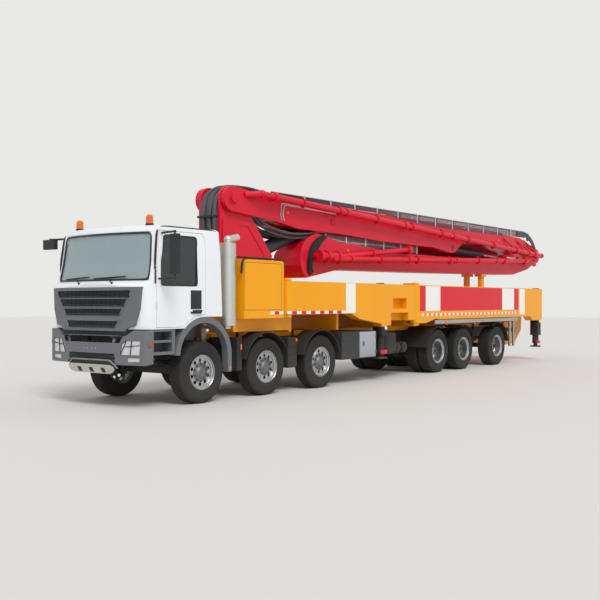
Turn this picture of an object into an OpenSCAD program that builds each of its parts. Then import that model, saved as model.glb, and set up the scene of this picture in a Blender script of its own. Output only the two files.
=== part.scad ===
// Truck-mounted concrete pump with a folding boom, stowed for the road.
// The truck faces -Y, its left side is +X, and the ground is at z = 0.
// Every y below is counted from the first axle; place() then centres the length.

/* [Chassis] */
// Distance from the first to the second axle
axle_2 = 1700; // [1500:10:1800]
// Distance from the first to the third axle
axle_3 = 3400; // [3100:10:3500]
// Distance from the first to the fourth axle
axle_4 = 8250; // [8000:10:8300]
// Distance from the first to the fifth axle
axle_5 = 9600; // [9500:10:9700]
// Distance from the first to the sixth axle
axle_6 = 11600; // [11300:10:11700]
// Radius of every tyre
tyre_r = 535; // [520:1:540]
// Width of a road tyre
tyre_w = 315; // [290:1:320]
// Width of a last-axle tyre
wide_tyre_w = 385; // [360:1:390]
// Distance from the middle to the outer face of the tyres
track_half = 1190; // [1180:1:1200]
// Radius of the wheel rims
rim_r = 298; // [285:1:305]
// Outer distance of a frame rail from the middle
rail_x = 430; // [400:1:440]
// Height of a frame rail
rail_h = 280; // [240:1:290]
// Height of the rails' underside
rail_z = 770; // [765:1:780]
// Rear end of the frame rails
rail_rear = 13200; // [13000:10:13250]

/* [Cab] */
// Front face of the cab
cab_front = -1385; // [-1400:1:-1375]
// Rear face of the cab
cab_rear = 450; // [420:1:460]
// Half width of the cab
cab_half = 1220; // [1200:1:1225]
// Height of the cab roof
cab_roof = 3000; // [2950:1:3010]
// Height of the cab's lower edge in front of the wheel
cab_floor = 1300; // [1290:1:1310]
// Thickness of the cab's walls
cab_wall = 60; // [40:1:70]
// Thickness of the window glass
glass_t = 8; // [5:1:12]
// Gap round a door
door_gap = 6; // [5:1:8]
// Front edge of a door
door_front = -1085; // [-1090:1:-1060]
// Rear edge of a door
door_rear = 30; // [10:1:50]

/* [Bumper] */
// Front face of the bumper
bumper_front = -1450; // [-1470:1:-1440]
// Height of the bumper's underside
bumper_z = 720; // [700:1:740]
// Height of the bumper's upper edge at the corners
bumper_top = 1285; // [1270:1:1290]

/* [Deck] */
// Half width of the truck across the deck
deck_half = 1250; // [1240:1:1260]
// Height of the deck's top, where the boxes and arms start
deck_z = 1500; // [1470:1:1510]
// Top of the tall box beside the slewing column
box_z = 2520; // [2400:1:2560]
// Top of the stowed outrigger arms
arm_z = 2150; // [2050:1:2180]
// Width of an outrigger arm
outrigger_w = 240; // [200:1:250]
// Reach of a front outrigger arm from its hinge to its jack
front_reach = 3350; // [3100:10:3400]
// Reach of a rear outrigger arm from its hinge to its jack
rear_reach = 7190; // [7000:10:7200]
// Ground clearance under a raised front jack
front_foot_z = 483; // [450:1:520]
// Ground clearance under a raised rear jack
rear_foot_z = 390; // [370:1:420]

/* [Boom] */
// Place of the first boom pivot along the truck
pivot_1_y = 1640; // [1620:1:1660]
// Height of the first boom pivot
pivot_1_z = 3730; // [3700:1:3740]
// Place of the second boom pivot along the truck
pivot_2_y = 16200; // [16100:10:16300]
// Height of the second boom pivot
pivot_2_z = 3250; // [3230:1:3270]
// Place of the third boom pivot along the truck
pivot_3_y = 4300; // [4250:10:4400]
// Height of the third boom pivot
pivot_3_z = 2680; // [2670:1:2700]
// Place of the fourth boom pivot along the truck
pivot_4_y = 14000; // [13900:10:14100]
// Height of the fourth boom pivot
pivot_4_z = 3000; // [2990:1:3020]
// Place of the fifth boom pivot along the truck
pivot_5_y = 6500; // [6400:10:6600]
// Height of the fifth boom pivot
pivot_5_z = 2900; // [2890:1:2920]
// Place of the boom's tip along the truck
tip_y = 13000; // [12800:10:13200]
// Half width of the first boom arm
arm_half = 385; // [370:1:388]
// Radius of the delivery pipe
pipe_r = 66; // [60:1:70]
// Bore radius of the lift cylinder's barrel
lift_r = 140; // [120:1:150]

/* [Hidden] */
$fn = 48;

clear = 5;
touch = 0.3;
ball_lip = 16;
arm_end_r = 230;
length_mid = (bumper_front + pivot_2_y + arm_end_r) / 2;
rail_top = rail_z + rail_h;
platform_h = 110;
beam_z = rail_top + platform_h;
deck_inner = deck_half - outrigger_w - 30;
column_y = 1950;
turntable_z = 2334;
cheek_z = box_z + 7;

// Steered axles: place along the truck, tyre width
steered = [[0, tyre_w], [axle_2, tyre_w], [axle_3, tyre_w], [axle_6, wide_tyre_w]];
driven = [axle_4, axle_5];
kingpin_x = track_half - 340;
kingpin_r = 26;
boss_r = 60;
boss_h = 170;
spindle_r = 48;
lug_t = 32;

// Round arch over the first wheel: centre along the truck, height of the centre, radius
arch_y = 15;
arch_z = 810;
arch_r = 680;
cab_arch_z = arch_z + arch_r;
window_z = [2010, 2850];
screen_z = [2090, 2890];

bumper_half = cab_half + 30;
arm_hinge_x = deck_half - outrigger_w / 2;
front_hinge_y = 2330;
rear_hinge_y = 7180;
front_jack_y = front_hinge_y + front_reach;
rear_jack_y = rear_hinge_y + rear_reach;
tank_front = front_jack_y + 220;
tank_rear = 6380;
tank_middle = (tank_front + tank_rear) / 2;
front_arm_end = front_jack_y + 267;
rear_arm_end = rear_jack_y + 210;
hinge_pin_r = 45;
jack_r = 95;
jack_gap = 1;
foot_r = 170;

// Points on an arc from angle a0 to a1, in n steps
function arc(cx, cy, r, a0, a1, n) = [for (i = [0:n]) [cx + r * cos(a0 + (a1 - a0) * i / n),
    cy + r * sin(a0 + (a1 - a0) * i / n)]];

// Outline on the middle plane, its half widths at the foot and at the top
function trapezium(foot, top, z0, z1) = [[-foot, z0], [foot, z0], [top, z1], [-top, z1]];

module place() {
    translate([0, -length_mid, 0]) children();
}

module both_sides() {
    children();
    mirror([1, 0, 0]) children();
}

// Extrudes a side view, drawn as [y, z] points, from x0 to x1
module side_plate(points, x0, x1) {
    translate([x0, 0, 0]) rotate([90, 0, 90]) linear_extrude(x1 - x0) polygon(points);
}

// Extrudes a front view, drawn as [x, z] points, from y0 to y1
module front_plate(points, y0, y1) {
    translate([0, y1, 0]) rotate([90, 0, 0]) linear_extrude(y1 - y0) polygon(points);
}

// Box between two corners
module block(low, high) {
    translate(low) cube(high - low);
}

// Round bar from one point to another
module bar(a, b, r) {
    v = b - a;
    translate(a) rotate([0, acos(v.z / norm(v)), atan2(v.y, v.x)]) cylinder(h = norm(v), r = r);
}

// Round bar along X through [y, z]
module cross_pin(y, z, x0, x1, r) {
    translate([x0, y, z]) rotate([0, 90, 0]) cylinder(h = x1 - x0, r = r);
}

// Chain of straight pipes with a swivel ball at each bend
module pipe_run(points, r) {
    for (i = [0:len(points) - 2]) bar(points[i], points[i + 1], r);
    for (i = [1:len(points) - 2]) translate(points[i]) sphere(r = r + ball_lip);
}

// Collar round a pipe at a along direction d
module collar(a, d, r, w) {
    u = d / norm(d);
    bar(a - u * w / 2, a + u * w / 2, r);
}

module chassis_frame() {
    rail_t = 9;
    flange = 85;
    crossers = [-1000, 1050, 2550, 4150, 5700, 7150, 8925, 10600, 12100, rail_rear - 100];
    color("#26282b") place() {
        both_sides() difference() {
            block([rail_x - flange, -1180, rail_z], [rail_x, rail_rear, rail_z + rail_h]);
            block([rail_x - flange - 1, -1181, rail_z + rail_t],
                [rail_x - rail_t, rail_rear + 1, rail_z + rail_h - rail_t]);
        }
        for (y = crossers)
            cross_pin(y, rail_z + rail_h / 2, -rail_x + rail_t / 2, rail_x - rail_t / 2, 60);
        // Posts under the cab: place along the truck, height of the cab's underside there
        for (m = [[-900, cab_floor], [250, cab_arch_z]])
            both_sides() block([rail_x - 70, m[0], rail_top - 1], [rail_x, m[0] + 90, m[1] - touch]);
    }
}

module axle_beam(y) {
    beam_half = kingpin_x - boss_r + 8;
    block([-beam_half, y - 55, tyre_r - 60], [beam_half, y + 55, tyre_r + 60]);
    both_sides() difference() {
        translate([kingpin_x, y, tyre_r - boss_h / 2]) cylinder(h = boss_h, r = boss_r);
        translate([kingpin_x, y, tyre_r - boss_h]) cylinder(h = 2 * boss_h, r = kingpin_r + 0.5);
    }
}

module leaf_spring(y) {
    half = 620;
    sag = 95;
    leaf_top = rail_z - 32;
    both_sides() {
        side_plate(concat([[y - half, leaf_top + 30]], [[y - half, leaf_top]],
            [[y - 90, leaf_top - sag], [y + 90, leaf_top - sag]], [[y + half, leaf_top]],
            [[y + half, leaf_top + 30]], [[y + 300, leaf_top - 20], [y - 300, leaf_top - 20]]),
            rail_x - 88, rail_x - 8);
        block([rail_x - 88, y - 60, tyre_r + 60], [rail_x - 8, y + 60, leaf_top - sag + 2]);
        for (s = [-1, 1])
            block([rail_x - 88, y + s * half - 30, leaf_top], [rail_x - 8, y + s * half + 30, rail_z]);
    }
}

module axles() {
    color("#202224") place() {
        for (a = steered) {
            axle_beam(a[0]);
            leaf_spring(a[0]);
        }
        for (y = driven) {
            cross_pin(y, tyre_r, -1090, 1090, 50);
            cross_pin(y, tyre_r, -480, 480, 85);
            translate([0, y, tyre_r]) rotate([0, 90, 0]) rotate_extrude()
                polygon([[0, -190], [110, -190], [195, -120], [230, 0], [195, 120], [110, 190], [0, 190]]);
            leaf_spring(y);
        }
    }
}

// Angle on the arch at which the cab's lower edge meets it
function arch_end(i) = 180 - asin((cab_floor + i - arch_z) / (arch_r + i));

// Side view of the cab, drawn in by i all round
function cab_side(i) = concat([[cab_front + i, cab_floor + i], [cab_front + i, 1650],
    [cab_front + 25 + i, 2060],
    [cab_front + 100 + i, 2400], [cab_front + 162 + i, cab_roof - 90 - i * 0.7],
    [cab_front + 185 + i, cab_roof - 30 - i], [cab_front + 260 + i, cab_roof - i],
    [cab_rear - 90 - i, cab_roof - i], [cab_rear - 68 - i, cab_roof - 40 - i], [cab_rear - i,
        cab_arch_z + i]],
    arc(arch_y, arch_z, arch_r + i, 90, arch_end(i), 8));

// Side view of the leaning front from the windscreen's foot up, open to the rear
function cab_brow(i) = [[cab_rear + 800, 1000], [cab_front - 150 + i, 1000], [cab_front - 150 + i, 1850],
    [cab_front + 25 + i, 2060], [cab_front + 100 + i, 2400], [cab_front + 162 + i, cab_roof - 90 - i * 0.7],
    [cab_front + 185 + i, cab_roof - 30 - i], [cab_front + 335 + i, cab_roof + 30 - i],
    [cab_rear + 800, cab_roof + 30 - i]];

// Plan of the cab below the windscreen, drawn in by i
cab_corner_r = 200;
cab_corner_y = cab_front + 275;
function cab_plan(i) = concat(
    [[cab_half - i, cab_rear + 60]],
    arc(cab_half - cab_corner_r, cab_corner_y, cab_corner_r - i, 0, -75, 6),
    [[500, cab_front + 12 + i], [0, cab_front + i], [-500, cab_front + 12 + i]],
    arc(cab_corner_r - cab_half, cab_corner_y, cab_corner_r - i, -105, -180, 6),
    [[i - cab_half, cab_rear + 60]]);

// Front view of the cab, with its roof edges drawn in
function cab_face(i) = [[-cab_half + i, 1000], [cab_half - i, 1000], [cab_half - i, 2500],
    [cab_half - 25 - i, cab_roof - 40], [cab_half - 80 - i, cab_roof - i],
    [80 + i - cab_half, cab_roof - i], [25 + i - cab_half, cab_roof - 40], [i - cab_half, 2500]];

// One flat of the bowed windscreen, turned about the bow's centre
bow_r = 4000;
module brow_flat(i, turn) {
    translate([0, cab_front + bow_r, 0]) rotate([0, 0, turn]) translate([0, -cab_front - bow_r, 0])
        side_plate(cab_brow(i), -2 * cab_half, 2 * cab_half);
}

module cab_block(i) {
    intersection() {
        side_plate(cab_side(i), -cab_half, cab_half);
        brow_flat(i, -15);
        brow_flat(i, -10);
        brow_flat(i, -5);
        brow_flat(i, 5);
        brow_flat(i, 10);
        brow_flat(i, 15);
        translate([0, 0, 1000]) linear_extrude(2200) polygon(cab_plan(i));
        front_plate(cab_face(i), cab_front - 100, cab_rear + 100);
    }
}

module cab_skin(outer, inner) {
    difference() {
        cab_block(outer);
        cab_block(inner);
    }
}

// Door outline in side view, grown by g
function door_outline(g) = concat([[door_front - g, 1330 - g]],
    arc(arch_y, arch_z, arch_r + 40 - g, 134, 92, 6),
    [[door_rear + g, cab_arch_z + 40 - g], [door_rear + g, 2790], [door_rear - 60 + g, 2905 + g],
        [door_front + 65 - g, 2905 + g], [door_front - g, 2420]]);

// Door window outline in side view, grown by g
function window_outline(g) = [[-985 - g, window_z[0] - g], [-158 + g, window_z[0] - g],
    [-163 + g, 2810], [-200 + g * 0.5, window_z[1] + g], [-880 - g * 0.5, window_z[1] + g], [-925 - g,
        2815],
    [-985 - g, 2380]];

// Windscreen: through opening, wider seat of the glass
screen_face = trapezium(cab_half - 170, cab_half - 200, screen_z[0] + 30, screen_z[1] - 30);
screen_seat = trapezium(cab_half - 70, cab_half - 130, screen_z[0], screen_z[1]);
screen_edge_y = cab_front + 310;
glass_depth = 12;
rear_window = trapezium(560, 560, 2150, 2650);
screen_back = cab_front + 480;
rear_wall_y = cab_rear - cab_wall - 80;

hinge_r = 14;
hinge_half = 42;
door_hinges = [1690, 2300];

// Upright cylinder on the hinge axis of a door
module on_hinge(z, half, r) {
    translate([cab_half, door_front, z - half]) cylinder(h = 2 * half, r = r);
}

// Pin and its two lugs on the cab's side
module hinge_pin(z) {
    on_hinge(z, hinge_half, hinge_r / 2);
    for (s = [-1, 1]) {
        on_hinge(z + s * (hinge_half - 11), 11, hinge_r);
        block([cab_half - 14, door_front - 28, z + s * (hinge_half - 11) - 11],
            [cab_half + hinge_r, door_front, z + s * (hinge_half - 11) + 11]);
    }
}

module cab_shell() {
    color("#eef0f2") place() {
        difference() {
            cab_skin(0, cab_wall);
            side_plate(door_outline(door_gap), -cab_half - 10, cab_half + 10);
            front_plate(screen_face, cab_front - 50, screen_back);
            intersection() {
                cab_skin(-1, glass_depth + glass_t + touch);
                front_plate(screen_seat, cab_front - 50, screen_edge_y);
            }
            front_plate(rear_window, rear_wall_y, cab_rear + 10);
            both_sides() for (z = door_hinges) on_hinge(z, hinge_half - 22 + touch, hinge_r + clear);
        }
        both_sides() for (z = door_hinges) hinge_pin(z);
    }
}

module cab_glass() {
    color("#2b3a40") place() {
        intersection() {
            cab_skin(glass_depth, glass_depth + glass_t);
            front_plate(screen_seat, cab_front - 50, screen_edge_y - 1);
        }
        intersection() {
            cab_skin(20, 20 + glass_t);
            front_plate(rear_window, rear_wall_y, cab_rear);
        }
    }
}

module door_half(side) {
    x0 = side > 0 ? cab_half - cab_wall - 1 : -cab_half - 1;
    intersection() {
        cab_skin(0, cab_wall);
        side_plate(door_outline(0), x0, x0 + cab_wall + 2);
    }
}

module door(side) {
    handle_x = cab_half + 14;
    flip = side > 0 ? 0 : 1;
    difference() {
        door_half(side);
        side_plate(window_outline(0), -cab_half - 10, cab_half + 10);
        mirror([flip, 0, 0]) for (z = door_hinges) on_hinge(z, hinge_half + clear, hinge_r + clear);
    }
    mirror([flip, 0, 0]) {
        for (z = door_hinges) difference() {
            union() {
                on_hinge(z, hinge_half - 27, hinge_r);
                block([cab_half - 30, door_front, z - hinge_half + 27], [cab_half, door_front + 40,
                    z + hinge_half - 27]);
            }
            on_hinge(z, hinge_half, hinge_r / 2 + touch);
        }
        block([cab_half - 1, -330, 1580], [handle_x, -290, 1620]);
        block([cab_half - 1, -130, 1580], [handle_x, -90, 1620]);
        block([handle_x - 1, -330, 1580], [handle_x + 14, -90, 1620]);
    }
}

module door_pane(side) {
    x0 = side > 0 ? cab_half - 34 : -cab_half + 34 - glass_t;
    intersection() {
        side_plate(window_outline(0), x0, x0 + glass_t);
        cab_block(2);
    }
}

module door_left() {
    color("#eef0f2") place() door(1);
}

module door_right() {
    color("#eef0f2") place() door(-1);
}

module door_glass_left() {
    color("#2b3a40") place() door_pane(1);
}

module door_glass_right() {
    color("#2b3a40") place() door_pane(-1);
}

// Grille panel with its recesses, bumper, step housings and the lips round the first wheels
grille_y = cab_front - 35;
grille_face = [[-1120, 1985], [1120, 1985], [1083, 1610], [993, 1360], [840, 1320], [720, 1180], [-720,
    1180],
    [-840, 1320], [-993, 1360], [-1083, 1610]];
grille_plan = [[-1150, -1180], [1150, -1180], [1150, grille_y + 100], [1083, grille_y + 75], [600,
    grille_y + 18],
    [0, grille_y], [-600, grille_y + 18], [-1083, grille_y + 75], [-1150, grille_y + 100]];
// Recess: half width at the top, half width at the bottom, top, bottom
recesses = [[930, 900, 1930, 1845], [860, 800, 1790, 1700], [760, 700, 1630, 1552], [690, 610, 1430, 1352],
    [800, 760, 1268, 1200]];

module bumper_plan(i) {
    corner = 150;
    polygon(concat([[bumper_half - i, -1180]], arc(bumper_half - corner, bumper_front + 255,
        corner - i, 0, -60, 4),
        [[750, bumper_front + 55 + i], [560, bumper_front + 30 + i], [0, bumper_front + i],
            [-560, bumper_front + 30 + i], [-750, bumper_front + 55 + i]],
        arc(corner - bumper_half, bumper_front + 255, corner - i, -120, -180, 4), [[i - bumper_half,
            -1180]]));
}

bumper_face = [[-bumper_half, bumper_z + 30], [-bumper_half + 60, bumper_z], [-640, bumper_z], [-560,
    bumper_z + 75],
    [560, bumper_z + 75], [640, bumper_z], [bumper_half - 60, bumper_z], [bumper_half, bumper_z + 30],
    [bumper_half, bumper_top - 40], [bumper_half - 40, bumper_top], [980, bumper_top], [800, 1190],
    [-800, 1190], [-980, bumper_top], [-bumper_half + 40, bumper_top], [-bumper_half, bumper_top - 40]];
head_lamp = [[700, 880], [1095, 880], [1115, 1120], [820, 1120], [735, 1060]];
fog_lamp = [[850, 765], [1100, 775], [1100, 845], [850, 845]];
lamp_back = bumper_front + 175;

module fascia_centre() {
    difference() {
        intersection() {
            front_plate(grille_face, grille_y - 5, -1200);
            linear_extrude(2100) polygon(grille_plan);
        }
        for (r = recesses)
            front_plate([[-r[0], r[2]], [r[0], r[2]], [r[1], r[3]], [-r[1], r[3]]], grille_y - 5,
                grille_y + 34);
        cab_block(0);
    }
}

module bumper_body() {
    difference() {
        intersection() {
            translate([0, 0, bumper_z - 10]) linear_extrude(700) bumper_plan(0);
            front_plate(bumper_face, bumper_front - 20, -1170);
        }
        block([-bumper_half + 40, lamp_back + 25, bumper_z - 20], [bumper_half - 40, -1160,
            bumper_top - 60]);
        front_plate([[-600, 800], [600, 800], [570, 900], [-570, 900]], bumper_front - 20,
            bumper_front + 70);
        both_sides() {
            front_plate(head_lamp, bumper_front - 50, lamp_back);
            front_plate(fog_lamp, bumper_front - 50, lamp_back);
        }
    }
}

// Rounded lip over the first wheel with its rear leg, drawn from the side
module arch_lip() {
    lip_w = 100;
    lip_gap = 2;
    outer = arch_r - lip_gap;
    inner = outer - lip_w;
    side_plate(concat(arc(arch_y, arch_z, outer, 176, 0, 24), [[arch_y + outer, 510], [arch_y + inner,
        510]],
        arc(arch_y, arch_z, inner, 0, 176, 24)), cab_half - 140, cab_half);
}

module front_fascia() {
    color("#4b4f54") place() {
        fascia_centre();
        bumper_body();
        both_sides() {
            // Bracket from the bumper to the end of the frame rail
            block([rail_x - 80, lamp_back + 10, rail_z + 20], [rail_x, -1180 - touch, rail_top - 20]);
            // Step housing behind the bumper, with two treads
            difference() {
                block([cab_half - 300, -1180, 880], [cab_half - 15, arch_y - arch_r, cab_floor - touch]);
                block([cab_half - 260, -1130, 930], [cab_half + 1, -730, 1080]);
                block([cab_half - 260, -1130, 1120], [cab_half + 1, -730, 1260]);
            }
            arch_lip();
        }
    }
}

module lamps() {
    color("#dfe6ea") place() {
        both_sides() {
            intersection() {
                translate([0, 0, bumper_z - 10]) linear_extrude(700) bumper_plan(10);
                union() {
                    front_plate(head_lamp, bumper_front - 50, lamp_back);
                    front_plate(fog_lamp, bumper_front - 50, lamp_back);
                }
            }
            // Amber beacon on the roof
            translate([cab_half - 320, -945, cab_roof + touch]) {
                cylinder(h = 40, r = 66);
                translate([0, 0, 39]) cylinder(h = 125, r1 = 62, r2 = 56);
                translate([0, 0, 163]) cylinder(h = 20, r1 = 56, r2 = 40);
            }
            // Tail lamp
            block([700, rail_rear - 120, 880], [1080, rail_rear - 50, 1000]);
        }
    }
}

module cab_interior() {
    color("#3a3d42") place() {
        // Floor in two levels, dashboard on its centre console
        intersection() {
            union() {
                block([-1090, -330, cab_arch_z + cab_wall], [1090, cab_rear - cab_wall - 10,
                    cab_arch_z + 130]);
                block([-1090, cab_front, cab_floor + cab_wall + touch], [1090, -620, cab_floor + 110]);
                block([-1090, -640, cab_floor + 109], [1090, -620, cab_arch_z + 130]);
                block([-1090, -640, cab_arch_z + 110], [1090, -329, cab_arch_z + 130]);
                block([-1100, cab_front, 1700], [1100, cab_front + 420, 2040]);
                block([-260, cab_front, cab_floor + 109], [260, cab_front + 410, 1701]);
            }
            cab_block(cab_wall + touch);
        }
        both_sides() {
            block([420, -460, cab_arch_z + 130], [930, 140, 1960]);
            side_plate([[40, 1900], [220, 1900], [300, 2640], [190, 2640]], 440, 910);
            side_plate([[220, 2630], [290, 2630], [300, 2820], [225, 2820]], 560, 790);
        }
        // Steering column and wheel in front of the left seat
        bar([675, cab_front + 400, 1900], [675, -640, 2110], 32);
        translate([675, -640, 2110]) rotate([28, 0, 0]) {
            rotate_extrude() translate([215, 0]) circle(r = 17);
            cylinder(h = 30, r = 60);
            for (a = [0, 120, 240]) rotate([0, 0, a]) translate([30, -16, 2]) cube([175, 32, 16]);
        }
    }
}

// Mirrors carried by the doors: a tall one on the left, a short wide one on the right
mirror_y = [-1085, -1005];
tall_mirror = [[cab_half + 300, cab_half + 460], [2190, 2830]];
wide_mirror = [[cab_half + 230, cab_half + 550], [2690, 2865]];

// Housing between two x and two z with its glass let in at the rear, and a bent arm to the door's top
module mirror_unit(x, z) {
    mid = [(x[0] + x[1]) / 2, (mirror_y[0] + mirror_y[1]) / 2];
    arm_z = 2868;
    bend = [cab_half + 60, -970, arm_z];
    difference() {
        block([x[0], mirror_y[0], z[0]], [x[1], mirror_y[1], z[1]]);
        block([x[0] + 14, mirror_y[1] - 12, z[0] + 14], [x[1] - 14, mirror_y[1] + 1, z[1] - 14]);
    }
    difference() {
        bar([cab_half - 75, -935, arm_z], bend, 18);
        front_plate(cab_face(-touch), -1200, -900);
    }
    translate(bend) sphere(r = 22);
    bar(bend, [mid[0], mid[1], arm_z], 18);
    translate([mid[0], mid[1], arm_z]) sphere(r = 22);
    bar([mid[0], mid[1], z[1] - 10], [mid[0], mid[1], arm_z + 1], 14);
}

module mirror_left() {
    low_z = 2120;
    foot = [(tall_mirror[0][0] + tall_mirror[0][1]) / 2, (mirror_y[0] + mirror_y[1]) / 2, low_z];
    color("#1d1f22") place() {
        mirror_unit(tall_mirror[0], tall_mirror[1]);
        difference() {
            bar([cab_half - 75, -1035, low_z], foot, 16);
            front_plate(cab_face(-touch), -1200, -900);
        }
        translate(foot) sphere(r = 20);
        bar(foot, [foot[0], foot[1], tall_mirror[1][0] + 10], 12);
    }
}

module mirror_right() {
    color("#1d1f22") place() mirror([1, 0, 0]) mirror_unit(wide_mirror[0], wide_mirror[1]);
}

module fender(y, r, w, a0, a1) {
    t = 14;
    outline = concat(arc(y, tyre_r, r, a0, a1, 16), arc(y, tyre_r, r - t, a1, a0, 16));
    side_plate(outline, track_half - w - 20, track_half + 25);
    block([rail_x + touch, y - 20, tyre_r + r - t + 1], [track_half - w - 10, y + 20, tyre_r + r - 1]);
    block([rail_x + touch, y - 20, rail_top - 70], [rail_x + 20, y + 20, tyre_r + r - 1]);
}

module mudguards() {
    single = tyre_w + 25;
    twin = 2 * tyre_w + 60;
    color("#1b1c1e") place() both_sides() {
        fender(axle_2, 645, single, 15, 165);
        fender(axle_3, 645, single, 15, 165);
        fender(axle_4, 625, twin, 72, 170);
        fender(axle_5, 625, twin, 60, 108);
        fender(axle_6, 660, wide_tyre_w + 30, 10, 120);
    }
}

module exhaust() {
    stack_x = 1050;
    stack_y = 782;
    stack_r = 142;
    stack_z = [1320, 2800];
    tip = [stack_x, stack_y + 245, 2920];
    color("#b9bcb8") place() {
        translate([stack_x, stack_y, stack_z[0]]) cylinder(h = stack_z[1] - stack_z[0], r = stack_r);
        for (z = [stack_z[0] + 120, stack_z[1] - 240]) translate([stack_x, stack_y,
            z]) cylinder(h = 40, r = stack_r + 6);
        // Short bent outlet
        translate([stack_x, stack_y, stack_z[1] - 1]) cylinder(h = 61, r = 62);
        translate([stack_x, stack_y, stack_z[1] + 66]) sphere(r = 74);
        bar([stack_x, stack_y, stack_z[1] + 66], tip, 64);
        // Bracket to the frame rail
        block([rail_x + touch, stack_y - 60, stack_z[0] - 60], [stack_x, stack_y + 60, stack_z[0] + 1]);
        block([rail_x + touch, stack_y - 60, rail_top - 60], [rail_x + 20, stack_y + 60, stack_z[0]]);
    }
}

module engine() {
    color("#55595c") place() {
        // Block under the cab, its front edge cut back below the round arch
        side_plate([[-300, 700], [900, 700], [900, cab_arch_z - 20], [-130, cab_arch_z - 20],
            [-300, cab_arch_z - 90]], -320, 320);
        // Feet on the rails
        for (y = [-150, 650]) block([-rail_x + 20, y, rail_top + touch], [rail_x - 20, y + 80,
            rail_top + 40]);
    }
}

module side_boxes() {
    color("#7d8184") place() both_sides() {
        // Tool box
        block([rail_x + 60, 4100, 530], [deck_half - 40, front_jack_y - 290, 1120]);
        block([rail_x, 4500, 850], [rail_x + 60, 4600, 1000]);
        // Round air tanks
        for (y = [6560, 6860]) {
            translate([rail_x + 90, y, 690]) rotate([0, 90, 0]) cylinder(h = 560, r = 125);
            block([rail_x + 150, y - 20, 800], [rail_x + 210, y + 20, 950]);
        }
        block([rail_x, 6500, 950], [rail_x + 210, 6920, 985]);
        // Fuel tank between the front jack and the air tanks, its bracket halfway along it
        block([rail_x + 60, tank_front, 560], [track_half - 60, tank_rear, 1060]);
        block([rail_x, tank_middle - 40, 850], [rail_x + 60, tank_middle + 40, 1000]);
    }
}

module deck() {
    color("#f3a90f") place() {
        // Narrow platform on the rails, cross beams and the deck plate
        block([10 - rail_x, 1000, rail_top], [rail_x - 10, rail_rear - 20, beam_z]);
        for (y = [2600, 4200, 5800, 7400, 9000, 10600, 12200, 13050])
            block([-deck_inner, y, beam_z - 1], [deck_inner, y + 80, deck_z]);
        block([-deck_inner, 2600, deck_z - 1], [deck_inner, 13130, deck_z + 20]);
        both_sides() {
            // Tall box beside the slewing column, on its bearer
            block([850, 990, deck_z - 60], [deck_half, 2117, box_z]);
            block([700, 990, 1195], [deck_inner, 2601, deck_z - 59]);
            step_box();
            // Hinge brackets of the outriggers
            for (h = [[front_hinge_y, deck_z - 50], [front_hinge_y, arm_z + 5],
                      [rear_hinge_y, deck_z - 310], [rear_hinge_y, arm_z + 5]])
                hinge_plate(h[0], h[1], deck_inner);
            // Posts that carry the upper plates
            block([deck_inner - 100, front_hinge_y - 110, deck_z - 60],
                [deck_inner, front_hinge_y + 110, arm_z + 45]);
            block([deck_inner - 100, rear_hinge_y - 110, deck_z - 311],
                [deck_inner, rear_hinge_y + 110, arm_z + 45]);
        }
    }
}

// Box between the stowed arms, with a step cut into its lower edge
module step_box() {
    difference() {
        block([deck_inner - 20, front_arm_end + 8, 1320], [deck_half - 10, 7040, arm_z]);
        block([deck_inner + 60, front_arm_end + 7, 1319], [deck_half - 9, 6710, deck_z]);
        block([deck_inner + 100, front_arm_end + 93, deck_z + 90], [deck_half - 9, 6640, deck_z + 330]);
    }
}

module hinge_plate(y, z, inner) {
    difference() {
        union() {
            block([inner - 100, y - 110, z], [arm_hinge_x, y + 110, z + 40]);
            translate([arm_hinge_x, y, z]) cylinder(h = 40, r = 110);
        }
        translate([arm_hinge_x, y, z - 1]) cylinder(h = 42, r = hinge_pin_r + 1);
    }
}

module pedestal() {
    neck_z = tyre_r + 700;
    color("#f3a90f") place() {
        translate([0, column_y, beam_z + touch]) cylinder(h = neck_z - beam_z, r = rail_x - 20);
        translate([0, column_y, neck_z]) cylinder(h = 2216 - neck_z, r1 = 600, r2 = 560);
        translate([0, column_y, 2215]) cylinder(h = 60, r = 680);
        translate([0, column_y, 2274]) cylinder(h = turntable_z - 2274, r = 600);
    }
}

module hopper() {
    front = rail_rear + touch;
    color("#e8a013") place() {
        // Pump cylinders under the rails' rear end
        for (s = [-1, 1]) translate([s * 130, 11760, 640]) rotate([-90, 0,
            0]) cylinder(h = front + 60 - 11760, r = 100);
        block([20 - rail_x, 12700, 740], [rail_x - 20, 12900, rail_z]);
        for (s = [-1, 1]) block([s * 130 - 60, 12720, 700], [s * 130 + 60, 12880, 741]);
        // Hopper open at the top
        difference() {
            side_plate([[front + 130, 480], [front + 750, 520], [front + 1200, 900], [front + 1260, 1330],
                [front, 1330], [front, 600]], -640, 640);
            side_plate([[front + 170, 560], [front + 730, 570], [front + 1160, 920], [front + 1221, 1331],
                [front + 39, 1331], [front + 40, 640]], -600, 600);
        }
    }
}

module side_rails() {
    rail_bottom = 1210;
    color("#b7bbbd") place() both_sides() {
        block([deck_half - 40, 7970, rail_bottom], [deck_half - 5, 12830, 1305]);
        for (y = [9020, 10620, 12220])
            block([deck_inner, y, rail_bottom + 30], [deck_half - 39, y + 40, rail_bottom + 70]);
        // Guard posts behind the last wheels
        for (y = [12290, 12540])
            block([deck_half - 60, y, 490], [deck_half - 20, y + 90, rail_bottom + 1]);
        // Rear lamp bracket
        block([rail_x, rail_rear - 180, 900], [1080, rail_rear - 120, 980]);
    }
}

rest_y = 12500;
arm_2_slope = 80 / 5500;
rest_z = 2520 + (rest_y - 9000) * arm_2_slope - clear;

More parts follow.
